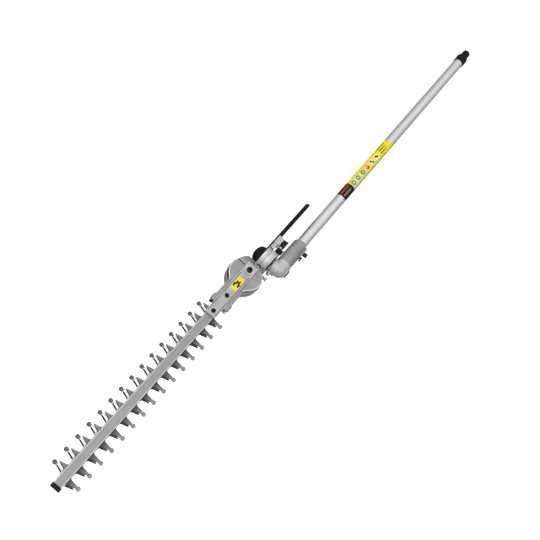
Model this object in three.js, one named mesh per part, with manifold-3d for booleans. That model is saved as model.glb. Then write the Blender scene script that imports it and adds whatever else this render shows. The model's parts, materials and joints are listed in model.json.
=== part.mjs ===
// Hedge trimmer head on a pole: a gear case with a double-acting toothed blade, tilting on a joint
// at the lower end of an aluminium tube. Millimetres, +Z up.
//
// The parts are laid out from one point: X = 0 is the tilt axis and runs towards the pole, Y = 0 is the
// middle of the blade, and Z = 0 is the plane in which the two blades touch. The tilt axis lies along Y.
import * as THREE from 'three';
import { mergeVertices } from 'three/addons/utils/BufferGeometryUtils.js';
import Module from 'manifold-3d';

const wasm = await Module();
wasm.setup();

// ---- Driving dimensions ----
const GAP = 0.3; // between pieces that touch
const PIVOT_Z = 2; // height of the tilt axis and of the pole
const POLE_Y = -46.5; // the pole runs beside the blade's centre line

const TUBE_RADIUS = 13;
const TUBE_WALL = 1.5;
const TUBE_START = 42;
const TUBE_END = 851;
const CAP_COLLAR_START = 832.5;
const CAP_COLLAR_END = 860;
const CAP_NOSE_END = 883;
const BUSH_X = [120, 360, 600, 790];
const BUSH_LENGTH = 18;
const SHAFT_RADIUS = 4;

const SOCKET_RADIUS = 17;
const SOCKET_START = 19.8;
const SOCKET_END = 88.5;
const UPPER_CASE_RADIUS = 18.5;

const DRUM_RADIUS = 26.5;
const DRUM_LEFT_END = 1.5;
const DRUM_SPLIT = -8.65;
const DRUM_RIGHT_END = -23.5;
const SLEEVE_RADIUS = 17;
const SLEEVE_BORE = 14;
const DISC_RADIUS = 32;
const NOTCH_STEP = 15; // degrees between the lock positions
const NOTCH_FIRST = -75;
const NOTCH_COUNT = 12;
const NOTCH_WIDTH = 8.6;
const NOTCH_DEPTH = 4;

const CRANK_X = -62;
const CRANK_THROW = 6;
const REST_SLIDE = 3; // how far each blade is from mid-stroke
const ECCENTRIC_RADIUS = 8;
const YOKE_CLEARANCE = 0.7;
const YOKE_WALL = 2.6;
const BODY_RADIUS = 40; // round part of the lower gear case
const CASE_WALL = 3.5;
const CASE_SPLIT = -3.2;
const CASE_TOP = 17;
const CASE_BOTTOM = -26;
const NECK_HALF = 20.5;
const NECK_FILLET = 16; // hollow corner between the neck and the round body
const NECK_END = -157;
const NECK_TOP = 12;
const LUG_BOLT_Y = 19;

const TOOTH_PITCH = 30;
const TOOTH_COUNT = 15;
const TOOTH_ZERO = -176.5; // first far-blade tooth at mid-stroke
const TOOTH_BALL_Y = 32.8;
const TOOTH_BALL_RADIUS = 4.6;
const STRIP_HALF = 10.5;
const STRIP_TIP = -615.5;
const BLADE_THICK = 2.5;
const BLADE_GAP = 0.15;
const SLOT_HALF_LENGTH = 8.45;
const SLOT_HALF_WIDTH = 3;
const SLOT_SHIFT = 2.75 / REST_SLIDE; // the slots lie midway in the travel that the crank allows
const BLADE_SCREW_X = [-206, -301, -396, -491, -586];

const BAR_HALF = 9.5;
const SPINE_SCREW_X = [-176.7, -131.3];
const MAIN_BOLT_X = -56.4;
const BAR_TIP = -631;
const BAR_ROOT = -112;
const BAR_BOTTOM = 3;
const BAR_TOP = 9;
const CAP_WALL = 1;
const SPINE_HALF = 13;

const GEAR_APEX_Y = -10; // where the pinion shaft meets the cross shaft
const FINE = 40; // sides of the large round parts
const MEDIUM = 28;
const COARSE = 18;

function paint(color, roughness, metalness) {
  return new THREE.MeshStandardMaterial({ color, roughness, metalness });
}

const finish = {
  castSilver: () => paint(0xb4b7ba, 0.5, 0.6),
  tubeSilver: () => paint(0xcfd2d4, 0.35, 0.8),
  bladeSteel: () => paint(0x9a9da0, 0.4, 0.9),
  barSilver: () => paint(0xc2c5c8, 0.4, 0.8),
  shaftSteel: () => paint(0x8c8f93, 0.3, 1),
  bearingSteel: () => paint(0xaeb1b5, 0.25, 1),
  blackSteel: () => paint(0x1d1d1f, 0.55, 0.5),
  blackPlastic: () => paint(0x151516, 0.6, 0),
  rubber: () => paint(0x222222, 0.9, 0),
};

// ---- Solids ----

// A closed manifold solid from any closed geometry, whichever way its faces point.
function solid(geometry) {
  const bare = geometry.clone();
  bare.deleteAttribute('normal');
  bare.deleteAttribute('uv');
  const merged = mergeVertices(bare, 1e-4);
  const points = merged.attributes.position.array;
  const corners = [];
  let volume = 0;
  const p = [new THREE.Vector3(), new THREE.Vector3(), new THREE.Vector3()];
  for (let i = 0; i < merged.index.count; i += 3) {
    const ids = [0, 1, 2].map((k) => merged.index.getX(i + k));
    if (new Set(ids).size < 3) continue;
    ids.forEach((id, k) => p[k].fromArray(points, 3 * id));
    volume += p[0].dot(p[1].clone().cross(p[2]));
    corners.push(...ids);
  }
  if (volume < 0) corners.reverse();
  const vertProperties = Float32Array.from(points);
  const triVerts = Uint32Array.from(corners);
  return new wasm.Manifold(new wasm.Mesh({ numProp: 3, vertProperties, triVerts }));
}

const join = (...shapes) => shapes.map(solid).reduce((a, b) => a.add(b));

function cut(body, ...tools) {
  const solids = tools.map((tool) => (tool.isBufferGeometry ? solid(tool) : tool));
  return solids.reduce((rest, tool) => rest.subtract(tool), body);
}

function geometryOf(manifold) {
  const mesh = manifold.getMesh();
  const geometry = new THREE.BufferGeometry();
  geometry.setAttribute('position', new THREE.BufferAttribute(Float32Array.from(mesh.vertProperties), 3));
  geometry.setIndex(new THREE.BufferAttribute(Uint32Array.from(mesh.triVerts), 1));
  geometry.computeVertexNormals();
  return geometry;
}

// ---- Shapes, each placed by its own coordinates ----
const TURN = {
  x: new THREE.Euler(0, Math.PI / 2, 0),
  y: new THREE.Euler(-Math.PI / 2, 0, 0),
  z: new THREE.Euler(0, 0, 0),
};

// Moves a shape made around local Z so that local Z lies along the given axis, from the point at.
function placed(geometry, axis, at) {
  const quaternion = new THREE.Quaternion().setFromEuler(TURN[axis]);
  return geometry.applyQuaternion(quaternion).translate(...at);
}

// A turned shape: profile pairs are [radius, distance along the axis], and the profile closes itself.
function turned(profile, axis, at, sides = MEDIUM) {
  const points = profile.map(([radius, along]) => new THREE.Vector2(radius, along));
  const geometry = new THREE.LatheGeometry(points, sides).rotateX(Math.PI / 2);
  return placed(geometry, axis, at);
}

const rod = (radius, length, axis, at, sides = MEDIUM) =>
  turned([[0, 0], [radius, 0], [radius, length], [0, length]], axis, at, sides);

const ring = (outer, inner, length, axis, at, sides = MEDIUM) =>
  turned([[inner, 0], [outer, 0], [outer, length], [inner, length], [inner, 0]], axis, at, sides);

function block([x0, x1], [y0, y1], [z0, z1]) {
  const geometry = new THREE.BoxGeometry(x1 - x0, y1 - y0, z1 - z0);
  return geometry.translate((x0 + x1) / 2, (y0 + y1) / 2, (z0 + z1) / 2);
}

// A flat outline in X and Y, raised from z0 to z1.
function slab(shape, z0, z1, curveSegments = 12) {
  const geometry = new THREE.ExtrudeGeometry(shape, { depth: z1 - z0, bevelEnabled: false, curveSegments });
  return geometry.translate(0, 0, z0);
}

// A flat outline in X and Z, thickened from y0 to y1.
function sideSlab(shape, y0, y1, curveSegments = 12) {
  const geometry = new THREE.ExtrudeGeometry(shape, { depth: y1 - y0, bevelEnabled: false, curveSegments });
  return geometry.rotateX(Math.PI / 2).translate(0, y1, 0);
}

const outline = (points) => new THREE.Shape(points.map(([x, y]) => new THREE.Vector2(x, y)));

// A rectangle with round ends along X.
function slotShape(x, y, halfLength, halfWidth) {
  const shape = new THREE.Shape();
  const reach = halfLength - halfWidth;
  shape.absarc(x + reach, y, halfWidth, -Math.PI / 2, Math.PI / 2, false);
  shape.absarc(x - reach, y, halfWidth, Math.PI / 2, (3 * Math.PI) / 2, false);
  return shape;
}

// A rectangle with rounded corners.
function roundedShape([x0, x1], [y0, y1], r) {
  const shape = new THREE.Shape();
  shape.absarc(x1 - r, y1 - r, r, 0, Math.PI / 2, false);
  shape.absarc(x0 + r, y1 - r, r, Math.PI / 2, Math.PI, false);
  shape.absarc(x0 + r, y0 + r, r, Math.PI, 1.5 * Math.PI, false);
  shape.absarc(x1 - r, y0 + r, r, 1.5 * Math.PI, 2 * Math.PI, false);
  return shape;
}

// ---- The scene: one group for each body that moves ----
const tool = new THREE.Group();
const bodies = {};
const bodyNames = [
  'pole', 'head', 'trigger', 'crank', 'pinion', 'crossShaft', 'drive', 'upperBlade', 'lowerBlade',
];
for (const name of bodyNames) {
  bodies[name] = new THREE.Group();
  tool.add(bodies[name]);
}

function add(body, name, material, shape) {
  const geometry = geometryOf(shape.isBufferGeometry ? solid(shape) : shape);
  const mesh = new THREE.Mesh(geometry, material());
  mesh.name = name;
  bodies[body].add(mesh);
}

// A screw around local Z: a head with a six-sided socket and a plain shank below it.
function socketScrew(headRadius, headHeight, shankRadius, shankLength, axis, at, flip = 1) {
  const head = rod(headRadius, headHeight, 'z', [0, 0, 0], COARSE);
  const shank = rod(shankRadius, shankLength + 1, 'z', [0, 0, -shankLength], 12);
  const socket = rod(headRadius * 0.5, headHeight, 'z', [0, 0, headHeight * 0.4], 6);
  const geometry = geometryOf(cut(join(head, shank), socket));
  return placed(flip < 0 ? geometry.rotateX(Math.PI) : geometry, axis, at);
}

// ---- Pole ----
function addPole() {
  const onPole = (x) => [x, POLE_Y, PIVOT_Z];
  const bore = TUBE_RADIUS - TUBE_WALL;
  const tube = ring(TUBE_RADIUS, bore, TUBE_END - TUBE_START, 'x', onPole(TUBE_START), FINE);
  add('pole', 'shaft_tube', finish.tubeSilver, tube);

  const collar = CAP_COLLAR_END - CAP_COLLAR_START;
  const nose = CAP_NOSE_END - CAP_COLLAR_START;
  const mouth = TUBE_END + GAP - CAP_COLLAR_START;
  const cap = [
    [TUBE_RADIUS + GAP, 0], [13.8, 0], [14.5, 1], [14.5, collar - 1.5], [13, collar], [10.2, collar],
    [10.2, nose - 1], [9.2, nose], [5, nose], [5, mouth], [TUBE_RADIUS + GAP, mouth], [TUBE_RADIUS + GAP, 0],
  ];
  add('pole', 'tube_end_cap', finish.blackPlastic, turned(cap, 'x', onPole(CAP_COLLAR_START), FINE));

  BUSH_X.forEach((x, i) => {
    const bush = ring(bore - GAP, SHAFT_RADIUS + GAP, BUSH_LENGTH, 'x', onPole(x), 24);
    add('pole', `shaft_bush_${i + 1}`, finish.rubber, bush);
  });

  // Socket: a barrel that clamps the tube, with a seat for the shaft bearing and a split ear.
  const length = SOCKET_END - SOCKET_START;
  const seat = TUBE_START - 0.5 - SOCKET_START;
  const barrel = [
    [12, 0], [SOCKET_RADIUS, 0], [SOCKET_RADIUS, length - 4], [SOCKET_RADIUS - 3, length],
    [TUBE_RADIUS + GAP, length], [TUBE_RADIUS + GAP, seat], [12, seat], [12, 0],
  ];
  const ear = block([58, 86], [POLE_Y - 19, POLE_Y - 13.8], [PIVOT_Z - 8, PIVOT_Z + 8]);
  const split = block([56, 92], [POLE_Y - 24, POLE_Y - 8], [PIVOT_Z - 0.8, PIVOT_Z + 0.8]);
  const screwHole = rod(3.3, 12, 'y', [70.5, POLE_Y - 22, PIVOT_Z + 4.6], 16);
  const cleanBore = rod(TUBE_RADIUS + GAP, 60, 'x', onPole(TUBE_START - 0.5), FINE);
  add('pole', 'tube_socket', finish.castSilver,
    cut(join(turned(barrel, 'x', onPole(SOCKET_START), FINE), ear), cleanBore, split, screwHole));
  add('pole', 'clamp_screw', finish.shaftSteel,
    socketScrew(5, 9, 3, 5.4, 'y', [70.5, POLE_Y - 19.2, PIVOT_Z + 4.6], -1));
  add('pole', 'locating_screw', finish.blackSteel,
    turned([[0, 0], [5.5, 0], [5.5, 2.6], [0, 2.6]], 'y', [57, POLE_Y - 21.9, PIVOT_Z], COARSE));
  const bearing = ring(11.7, SHAFT_RADIUS + GAP, 8, 'x', onPole(24), MEDIUM);
  add('pole', 'shaft_bearing', finish.bearingSteel, bearing);

  // Rounded case for the first bevel gears, opening towards the socket and towards the joint.
  const nosePoints = [];
  for (let i = 0; i <= 8; i += 1) {
    const angle = (-Math.PI / 2) * (1 - i / 8);
    nosePoints.push([UPPER_CASE_RADIUS * Math.cos(angle), 16.5 * Math.sin(angle)]);
  }
  const shellEnd = SOCKET_START - GAP;
  const shell = turned([...nosePoints, [UPPER_CASE_RADIUS, shellEnd], [0, shellEnd]], 'x', onPole(0), FINE);
  const neck = rod(19, 18, 'y', [0, POLE_Y + 1.2, PIVOT_Z], FINE);
  const lug = block([-22, -9], [-38, -29.5], [PIVOT_Z - 5, PIVOT_Z + 5]);
  const shaftSpace = rod(14.5, 40, 'x', onPole(-8), MEDIUM);
  const crossSpace = rod(SLEEVE_BORE, 24, 'y', [0, POLE_Y, PIVOT_Z], MEDIUM);
  add('pole', 'upper_gear_case', finish.castSilver, cut(join(shell, neck, lug), shaftSpace, crossSpace));
  add('pole', 'case_plug', finish.blackSteel, rod(9, 1.8, 'y', [6.5, POLE_Y - 20.6, PIVOT_Z], COARSE));
  add('pole', 'lug_nut', finish.shaftSteel, rod(4.5, 4, 'x', [-26.4, -34, PIVOT_Z], 6));

  // Sleeve and notched disc on which the head turns.
  const sleeve = ring(SLEEVE_RADIUS, SLEEVE_BORE, 11.8, 'y', [0, -27, PIVOT_Z], FINE);
  add('pole', 'pivot_sleeve', finish.shaftSteel, sleeve);
  const disc = ring(DISC_RADIUS, SLEEVE_RADIUS + GAP, 2.5, 'y', [0, -26.7, PIVOT_Z], 48);
  const notches = [];
  for (let i = 0; i < NOTCH_COUNT; i += 1) {
    const angle = THREE.MathUtils.degToRad(NOTCH_FIRST + i * NOTCH_STEP);
    const reach = [DISC_RADIUS - NOTCH_DEPTH, DISC_RADIUS + 4];
    const notch = block(reach, [-28, -23], [-NOTCH_WIDTH / 2, NOTCH_WIDTH / 2]);
    notches.push(notch.rotateY(angle).translate(0, 0, PIVOT_Z));
  }
  add('pole', 'detent_disc', finish.blackSteel, cut(solid(disc), ...notches));
  const bearingRing = ring(SLEEVE_BORE - GAP, SHAFT_RADIUS + GAP, 6, 'y', [0, -26, PIVOT_Z]);
  add('pole', 'cross_bearing', finish.bearingSteel, bearingRing);
}

// ---- Drive from the pole to the crank ----
// A mitre gear: half of a 45 degree cone on its shaft's axis, near and far measured from the apex.
function mitreGear(near, far, bore, axis, apex, side) {
  const [a, b] = side > 0 ? [near, far] : [-near, -far];
  return turned([[bore, a], [near - GAP, a], [far - GAP, b], [bore, b], [bore, a]], axis, apex, 24);
}

function addDrive() {
  const steel = finish.shaftSteel;
  const bore = SHAFT_RADIUS + GAP;
  const apex = [0, POLE_Y, PIVOT_Z];
  add('drive', 'drive_shaft', steel, rod(SHAFT_RADIUS, CAP_NOSE_END - 14, 'x', [8, POLE_Y, PIVOT_Z], 16));
  add('drive', 'drive_bevel_gear', steel, mitreGear(8, 13, bore, 'x', apex, 1));

  const innerApex = [0, GEAR_APEX_Y, PIVOT_Z];
  add('crossShaft', 'cross_shaft', steel, rod(SHAFT_RADIUS, 23.5, 'y', [0, POLE_Y + 8, PIVOT_Z], 16));
  add('crossShaft', 'upper_bevel_gear', steel, mitreGear(8, 13, bore, 'y', apex, 1));
  add('crossShaft', 'lower_bevel_gear', steel, mitreGear(5, 8, bore, 'y', innerApex, -1));

  const pinionRadius = SHAFT_RADIUS - 1;
  const pinionEnd = [CRANK_X + 17.8, GEAR_APEX_Y, PIVOT_Z];
  add('pinion', 'pinion_shaft', steel, rod(pinionRadius, -5 - pinionEnd[0], 'x', pinionEnd, 16));
  add('pinion', 'inner_bevel_gear', steel, mitreGear(5, 8, pinionRadius + GAP, 'x', innerApex, -1));
  add('pinion', 'crank_pinion', steel, ring(9.7, pinionRadius + GAP, 6.2, 'x', pinionEnd, 24));

  // Crank wheel with two opposed eccentrics, one in each blade's yoke.
  const across = Math.sqrt(CRANK_THROW ** 2 - REST_SLIDE ** 2);
  const wheel = ring(26.5, 3, 9, 'z', [CRANK_X, 0, -17], FINE);
  const journal = rod(6, 14.9, 'z', [CRANK_X, 0, -22.3], 20);
  const hub = rod(2, 12, 'z', [CRANK_X, 0, -9], 12);
  const spacer = rod(6.5, 5.5, 'z', [CRANK_X, 0, -8.5], 20);
  const lower = rod(ECCENTRIC_RADIUS, 2.6, 'z', [CRANK_X - REST_SLIDE, -across, -BLADE_THICK - 0.6], 24);
  const upper = rod(ECCENTRIC_RADIUS, 2.6, 'z', [CRANK_X + REST_SLIDE, across, 0.1], 24);
  add('crank', 'crank_wheel', steel, join(wheel, journal, spacer, hub, lower, upper));
  add('head', 'crank_bearing', finish.bearingSteel, ring(12, 6.3, 5, 'z', [CRANK_X, 0, -22.3]));
}

// ---- Lower gear case ----
// Plan of the case: round body, neck with hollow corners, and a rear that narrows to the tilt joint.
function casePlan(inset) {
  const r = BODY_RADIUS - inset;
  const neck = NECK_HALF - inset;
  const hollow = NECK_FILLET + inset;
  const hollowX = CRANK_X - Math.sqrt((r + hollow) ** 2 - (neck + hollow) ** 2);
  const start = Math.atan2(neck + hollow, CRANK_X - hollowX);
  const shape = new THREE.Shape();
  shape.moveTo(NECK_END + inset, neck);
  shape.lineTo(NECK_END + inset, -neck);
  shape.absarc(hollowX, -neck - hollow, hollow, Math.PI / 2, start, true);
  shape.absarc(CRANK_X, 0, r, Math.PI + start, 1.5 * Math.PI + 0.18, false);
  shape.lineTo(-42, -26 + inset);
  shape.lineTo(-18, -24 + inset);
  shape.lineTo(-18, 19 - inset);
  shape.lineTo(-30, 27 - inset);
  shape.absarc(CRANK_X, 0, r, Math.PI / 2 - 0.1, Math.PI - start, false);
  shape.absarc(hollowX, neck + hollow, hollow, -start, -Math.PI / 2, true);
  return shape;
}

function addCase() {
  const aroundJoint = [
    rod(DRUM_RADIUS + GAP, 60, 'y', [0, -58.2, PIVOT_Z], FINE),
    rod(23.2, 40, 'y', [0, 1.7, PIVOT_Z], FINE),
    rod(DISC_RADIUS + 1, 40, 'y', [0, -63.8, PIVOT_Z], FINE),
  ];
  const bladePath = block([-200, CRANK_X], [-11.5, 11.5], [CASE_SPLIT - 1, BAR_TOP + 0.2]);
  const gearSpace = slab(casePlan(CASE_WALL), -30, 30);
  const frontLimit = block([CRANK_X - 38, -34.9], [-60, 60], [-22.8, CASE_TOP - CASE_WALL - 0.6]);
  const space = solid(gearSpace).intersect(solid(frontLimit));
  const shaftPath = rod(9.3, 50, 'x', [-46, GEAR_APEX_Y, PIVOT_Z], MEDIUM);

  // Top half. Its rear slopes down to the joint, and the neck is lower than the round body.
  const profile = outline([
    [NECK_END - 1, CASE_SPLIT], [NECK_END - 1, NECK_TOP], [CRANK_X - 42, NECK_TOP], [CRANK_X - 37, CASE_TOP],
    [-40, CASE_TOP], [-24, 8], [-16, 8], [-16, CASE_SPLIT],
  ]);
  const lugReach = 24.5;
  const lugs = [1, -1].map((side) => {
    const root = 12 * side;
    const lug = outline([[-156, root], [-153, side * lugReach], [-140, side * lugReach], [-134, root]]);
    return solid(slab(lug, CASE_SPLIT, 8));
  });
  const plan = casePlan(0);
  const top = solid(slab(plan, CASE_SPLIT, CASE_TOP, 14)).intersect(solid(sideSlab(profile, -50, 50)));
  const boltHoles = [LUG_BOLT_Y, -LUG_BOLT_Y].map((y) => rod(1.9, 9, 'x', [NECK_END - 1, y, 2.4], 12));
  const nippleSeat = block([-50.5, -39.5], [-45, -33.8], [3.5, 14.5]);
  const withLugs = lugs.reduce((a, b) => a.add(b), top);
  add('head', 'lower_case_top', finish.castSilver,
    cut(withLugs, bladePath, space, shaftPath, nippleSeat, ...aroundJoint, ...boltHoles));

  const floor = outline([
    [NECK_END - 1, CASE_SPLIT - GAP], [NECK_END - 1, -9], [CRANK_X - 46, -12], [CRANK_X - 38, CASE_BOTTOM],
    [-34, CASE_BOTTOM], [-22, -20], [-16, -20], [-16, CASE_SPLIT - GAP],
  ]);
  const lowerSlab = solid(slab(plan, CASE_BOTTOM, CASE_SPLIT - GAP, 14));
  const bottom = lowerSlab.intersect(solid(sideSlab(floor, -50, 50)));
  const seat = rod(12.3, 6, 'z', [CRANK_X, 0, -22.9], MEDIUM);
  add('head', 'lower_case_bottom', finish.castSilver, cut(bottom, space, seat, shaftPath, ...aroundJoint));

  add('head', 'pinion_bearing', finish.bearingSteel,
    ring(9, SHAFT_RADIUS - 1 + GAP, 8, 'x', [-36.6, GEAR_APEX_Y, PIVOT_Z]));

  // Raised spine along the top, down to the guide bar at its front.
  const spine = outline([
    [-188, BAR_TOP + GAP], [-188, 14.5], [-185, 16], [-118, 17], [CRANK_X - 38, 22], [-40, 22], [-38, 20],
    [-38, CASE_TOP + GAP], [CRANK_X - 40, CASE_TOP + GAP], [CRANK_X - 46, NECK_TOP + GAP],
    [NECK_END - 1 - GAP, NECK_TOP + GAP], [NECK_END - 1 - GAP, BAR_TOP + GAP],
  ]);
  const screwSeats = SPINE_SCREW_X.map((x) => rod(5.2, 10, 'z', [x, 0, 13.8], COARSE));
  const screwBores = SPINE_SCREW_X.map((x) => rod(2.8, 20, 'z', [x, 0, 8], 12));
  const mainBore = rod(4.4, 20, 'z', [MAIN_BOLT_X, 0, 10], 16);
  add('head', 'spine_plate', finish.castSilver,
    cut(solid(sideSlab(spine, -SPINE_HALF, SPINE_HALF)), ...screwSeats, ...screwBores, mainBore));
  SPINE_SCREW_X.forEach((x, i) => {
    const shankLength = i === 0 ? 4.2 : 1.2; // the first screw goes down into the guide bar
    const screw = socketScrew(4.3, 4, 2.5, shankLength, 'z', [x, 0, 14.1]);
    add('head', `spine_screw_${i + 1}`, finish.blackSteel, screw);
  });
  add('head', 'spine_bolt_washer', finish.castSilver, ring(10.5, 4.4, 2, 'z', [MAIN_BOLT_X, 0, 22.3]));
  add('head', 'spine_bolt', finish.blackSteel, socketScrew(6.6, 4.5, 4, 6.2, 'z', [MAIN_BOLT_X, 0, 24.6]));

  const nipple = [[0, 0], [4.4, 0], [4.4, 3.5], [3.2, 5], [3.2, 9], [4.4, 10], [4.4, 13.9], [0, 13.9]];
  add('head', 'grease_nipple', finish.bearingSteel, turned(nipple, 'y', [-45, -48, 9], COARSE));
  const lugBolt = [[0, -4], [4.2, -4], [4.2, -GAP], [1.6, -GAP], [1.6, 7], [0, 7]];
  for (const [side, name] of [[1, 'left'], [-1, 'right']]) {
    const at = [NECK_END, LUG_BOLT_Y * side, 2.4];
    add('head', `lug_bolt_${name}`, finish.blackSteel, turned(lugBolt, 'x', at, 12));
  }
  const screws = [[-98, 15], [-98, -15], [-36, 20], [-46, -25]];
  screws.forEach(([x, y], i) => {
    const screw = rod(4, 3, 'z', [x, y, CASE_BOTTOM - 3 - GAP], COARSE);
    add('head', `cover_screw_${i + 1}`, finish.shaftSteel, screw);
  });
}

// ---- Tilt joint and its lock ----
function addJoint() {
  const pivot = (y) => [0, y, PIVOT_Z];
  const shaftHole = rod(9.3, 40, 'x', [-46, GEAR_APEX_Y, PIVOT_Z], MEDIUM);
  const leftDepth = DRUM_LEFT_END - DRUM_SPLIT - GAP / 2;
  const left = turned([
    [0, leftDepth], [0, leftDepth - 2], [15, leftDepth - 2], [15, 0], [DRUM_RADIUS - 1.5, 0],
    [DRUM_RADIUS, 1.5], [DRUM_RADIUS, leftDepth], [0, leftDepth],
  ], 'y', pivot(DRUM_SPLIT + GAP / 2), FINE);
  add('head', 'pivot_drum_left', finish.castSilver, cut(solid(left), shaftHole));
  const rightDepth = DRUM_SPLIT - GAP / 2 - DRUM_RIGHT_END;
  const bore = SLEEVE_RADIUS + GAP;
  const right = turned([
    [bore, 0], [DRUM_RADIUS, 0], [DRUM_RADIUS, rightDepth - 1.5], [DRUM_RADIUS - 1.5, rightDepth],
    [bore, rightDepth], [bore, 0],
  ], 'y', pivot(DRUM_RIGHT_END), FINE);
  add('head', 'pivot_drum_right', finish.castSilver, cut(solid(right), shaftHole));

  const domeStart = 5.3;
  const dome = [[0, 0]];
  for (let i = 0; i <= 8; i += 1) {
    const angle = (Math.PI / 2) * (i / 8);
    dome.push([20 * Math.cos(angle), 15.3 * Math.sin(angle)]);
  }
  add('head', 'pivot_dome_cap', finish.blackPlastic, turned(dome, 'y', pivot(domeStart), FINE));

  // Lever: a steel plate around the pivot with an arm that carries the grip.
  const plate = new THREE.Shape();
  plate.absarc(0, PIVOT_Z, 22, 0.45, 2 * Math.PI - 0.45, false);
  plate.lineTo(60, PIVOT_Z - 7);
  plate.lineTo(174, PIVOT_Z - 7);
  plate.lineTo(177.5, PIVOT_Z - 4);
  plate.lineTo(177.5, PIVOT_Z + 4);
  plate.lineTo(174, PIVOT_Z + 7);
  plate.lineTo(60, PIVOT_Z + 7);
  add('head', 'lever_plate', finish.blackSteel, sideSlab(plate, 2, 5, 24));
  const grip = roundedShape([69.5, 177.5], [PIVOT_Z - 11, PIVOT_Z + 11], 6);
  add('head', 'lever_grip', finish.blackPlastic, sideSlab(grip, -4.5, 1.7, 5));

  const mount = block([43.5, 65.5], [-12, 1.7], [PIVOT_Z - 9, PIVOT_Z + 9]);
  const foot = block([29.8, 44], [-9, 1.7], [PIVOT_Z - 6, PIVOT_Z + 6]);
  add('head', 'trigger_block', finish.castSilver, join(mount, foot));

  const knob = outline([
    [46.5, -24.4], [64.6, -24.6], [67.5, -24], [64.4, -19.5], [64.4, -12.5], [46.5, -12.5],
  ]);
  add('trigger', 'release_trigger', finish.blackPlastic, slab(knob, PIVOT_Z - 8, PIVOT_Z + 8));
  add('trigger', 'trigger_rod', finish.shaftSteel, rod(3, 4.4, 'x', [41.8, -18, PIVOT_Z], 16));
  add('trigger', 'rod_collar', finish.castSilver, ring(5.4, 3.3, 4.4, 'x', [41.8, -18, PIVOT_Z], COARSE));
  const pawl = join(
    block([30.2, 41.5], [-23.9, -12.5], [PIVOT_Z - 6, PIVOT_Z + 6]),
    block([32.6, 41.5], [-27.2, -23], [PIVOT_Z - 4, PIVOT_Z + 4]),
    block([33.5, 43.5], [-28.8, -27], [PIVOT_Z - 6, PIVOT_Z + 6]),
  );
  add('trigger', 'lock_pawl', finish.blackSteel, pawl);
}

// ---- Cutting gear ----
// Corner points of a tooth, as [along X from its middle, distance from the blade's centre line].
function longTooth() {
  const points = [[4.2, STRIP_HALF], [2.7, 27.5]];
  for (let i = 0; i <= 8; i += 1) {
    const angle = THREE.MathUtils.degToRad(-50 + (280 * i) / 8);
    points.push([TOOTH_BALL_RADIUS * Math.cos(angle), TOOTH_BALL_Y + TOOTH_BALL_RADIUS * Math.sin(angle)]);
  }
  points.push([-3.1, 27.5], [-8.3, STRIP_HALF]);
  return points;
}

const shortTooth = () => [[4.6, STRIP_HALF], [1.1, 26.6], [-0.9, 26.6], [-6, STRIP_HALF]];

// One blade, its long teeth towards side * Y. slide is its place along X from mid-stroke.
function bladeSolid(side, slide, z0) {
  const root = -100;
  const tip = STRIP_TIP + slide;
  const shape = new THREE.Shape();
  shape.moveTo(root, STRIP_HALF * side);
  for (let i = 0; i < TOOTH_COUNT; i += 1) {
    const x = TOOTH_ZERO - i * TOOTH_PITCH - (side < 0 ? TOOTH_PITCH / 2 : 0) + slide;
    for (const [dx, y] of longTooth()) shape.lineTo(x + dx, y * side);
  }
  shape.lineTo(tip, STRIP_HALF * side);
  shape.lineTo(tip, -STRIP_HALF * side);
  for (let i = TOOTH_COUNT - 1; i >= 0; i -= 1) {
    const x = TOOTH_ZERO - i * TOOTH_PITCH - (side > 0 ? TOOTH_PITCH / 2 : 0) + slide;
    for (const [dx, y] of shortTooth().reverse()) shape.lineTo(x + dx, -y * side);
  }
  shape.lineTo(root, -STRIP_HALF * side);
  for (const x of BLADE_SCREW_X) {
    const middle = x + slide * SLOT_SHIFT;
    shape.holes.push(slotShape(middle, 0, SLOT_HALF_LENGTH, SLOT_HALF_WIDTH));
  }
  const strip = slab(shape, z0, z0 + BLADE_THICK, 6);

  const yokeX = CRANK_X + slide;
  const slotHalf = ECCENTRIC_RADIUS + YOKE_CLEARANCE;
  const reach = CRANK_THROW + ECCENTRIC_RADIUS + YOKE_CLEARANCE;
  const outerHalf = slotHalf + YOKE_WALL;
  const outerReach = reach + YOKE_WALL;
  const yoke = roundedShape([yokeX - outerHalf, yokeX + outerHalf], [-outerReach, outerReach], 5);
  yoke.holes.push(roundedShape([yokeX - slotHalf, yokeX + slotHalf], [-reach, reach], 4));
  const tail = block([-102, yokeX - slotHalf - 1], [-8, 8], [z0, z0 + BLADE_THICK]);
  return join(strip, slab(yoke, z0, z0 + BLADE_THICK, 5), tail);
}

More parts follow.
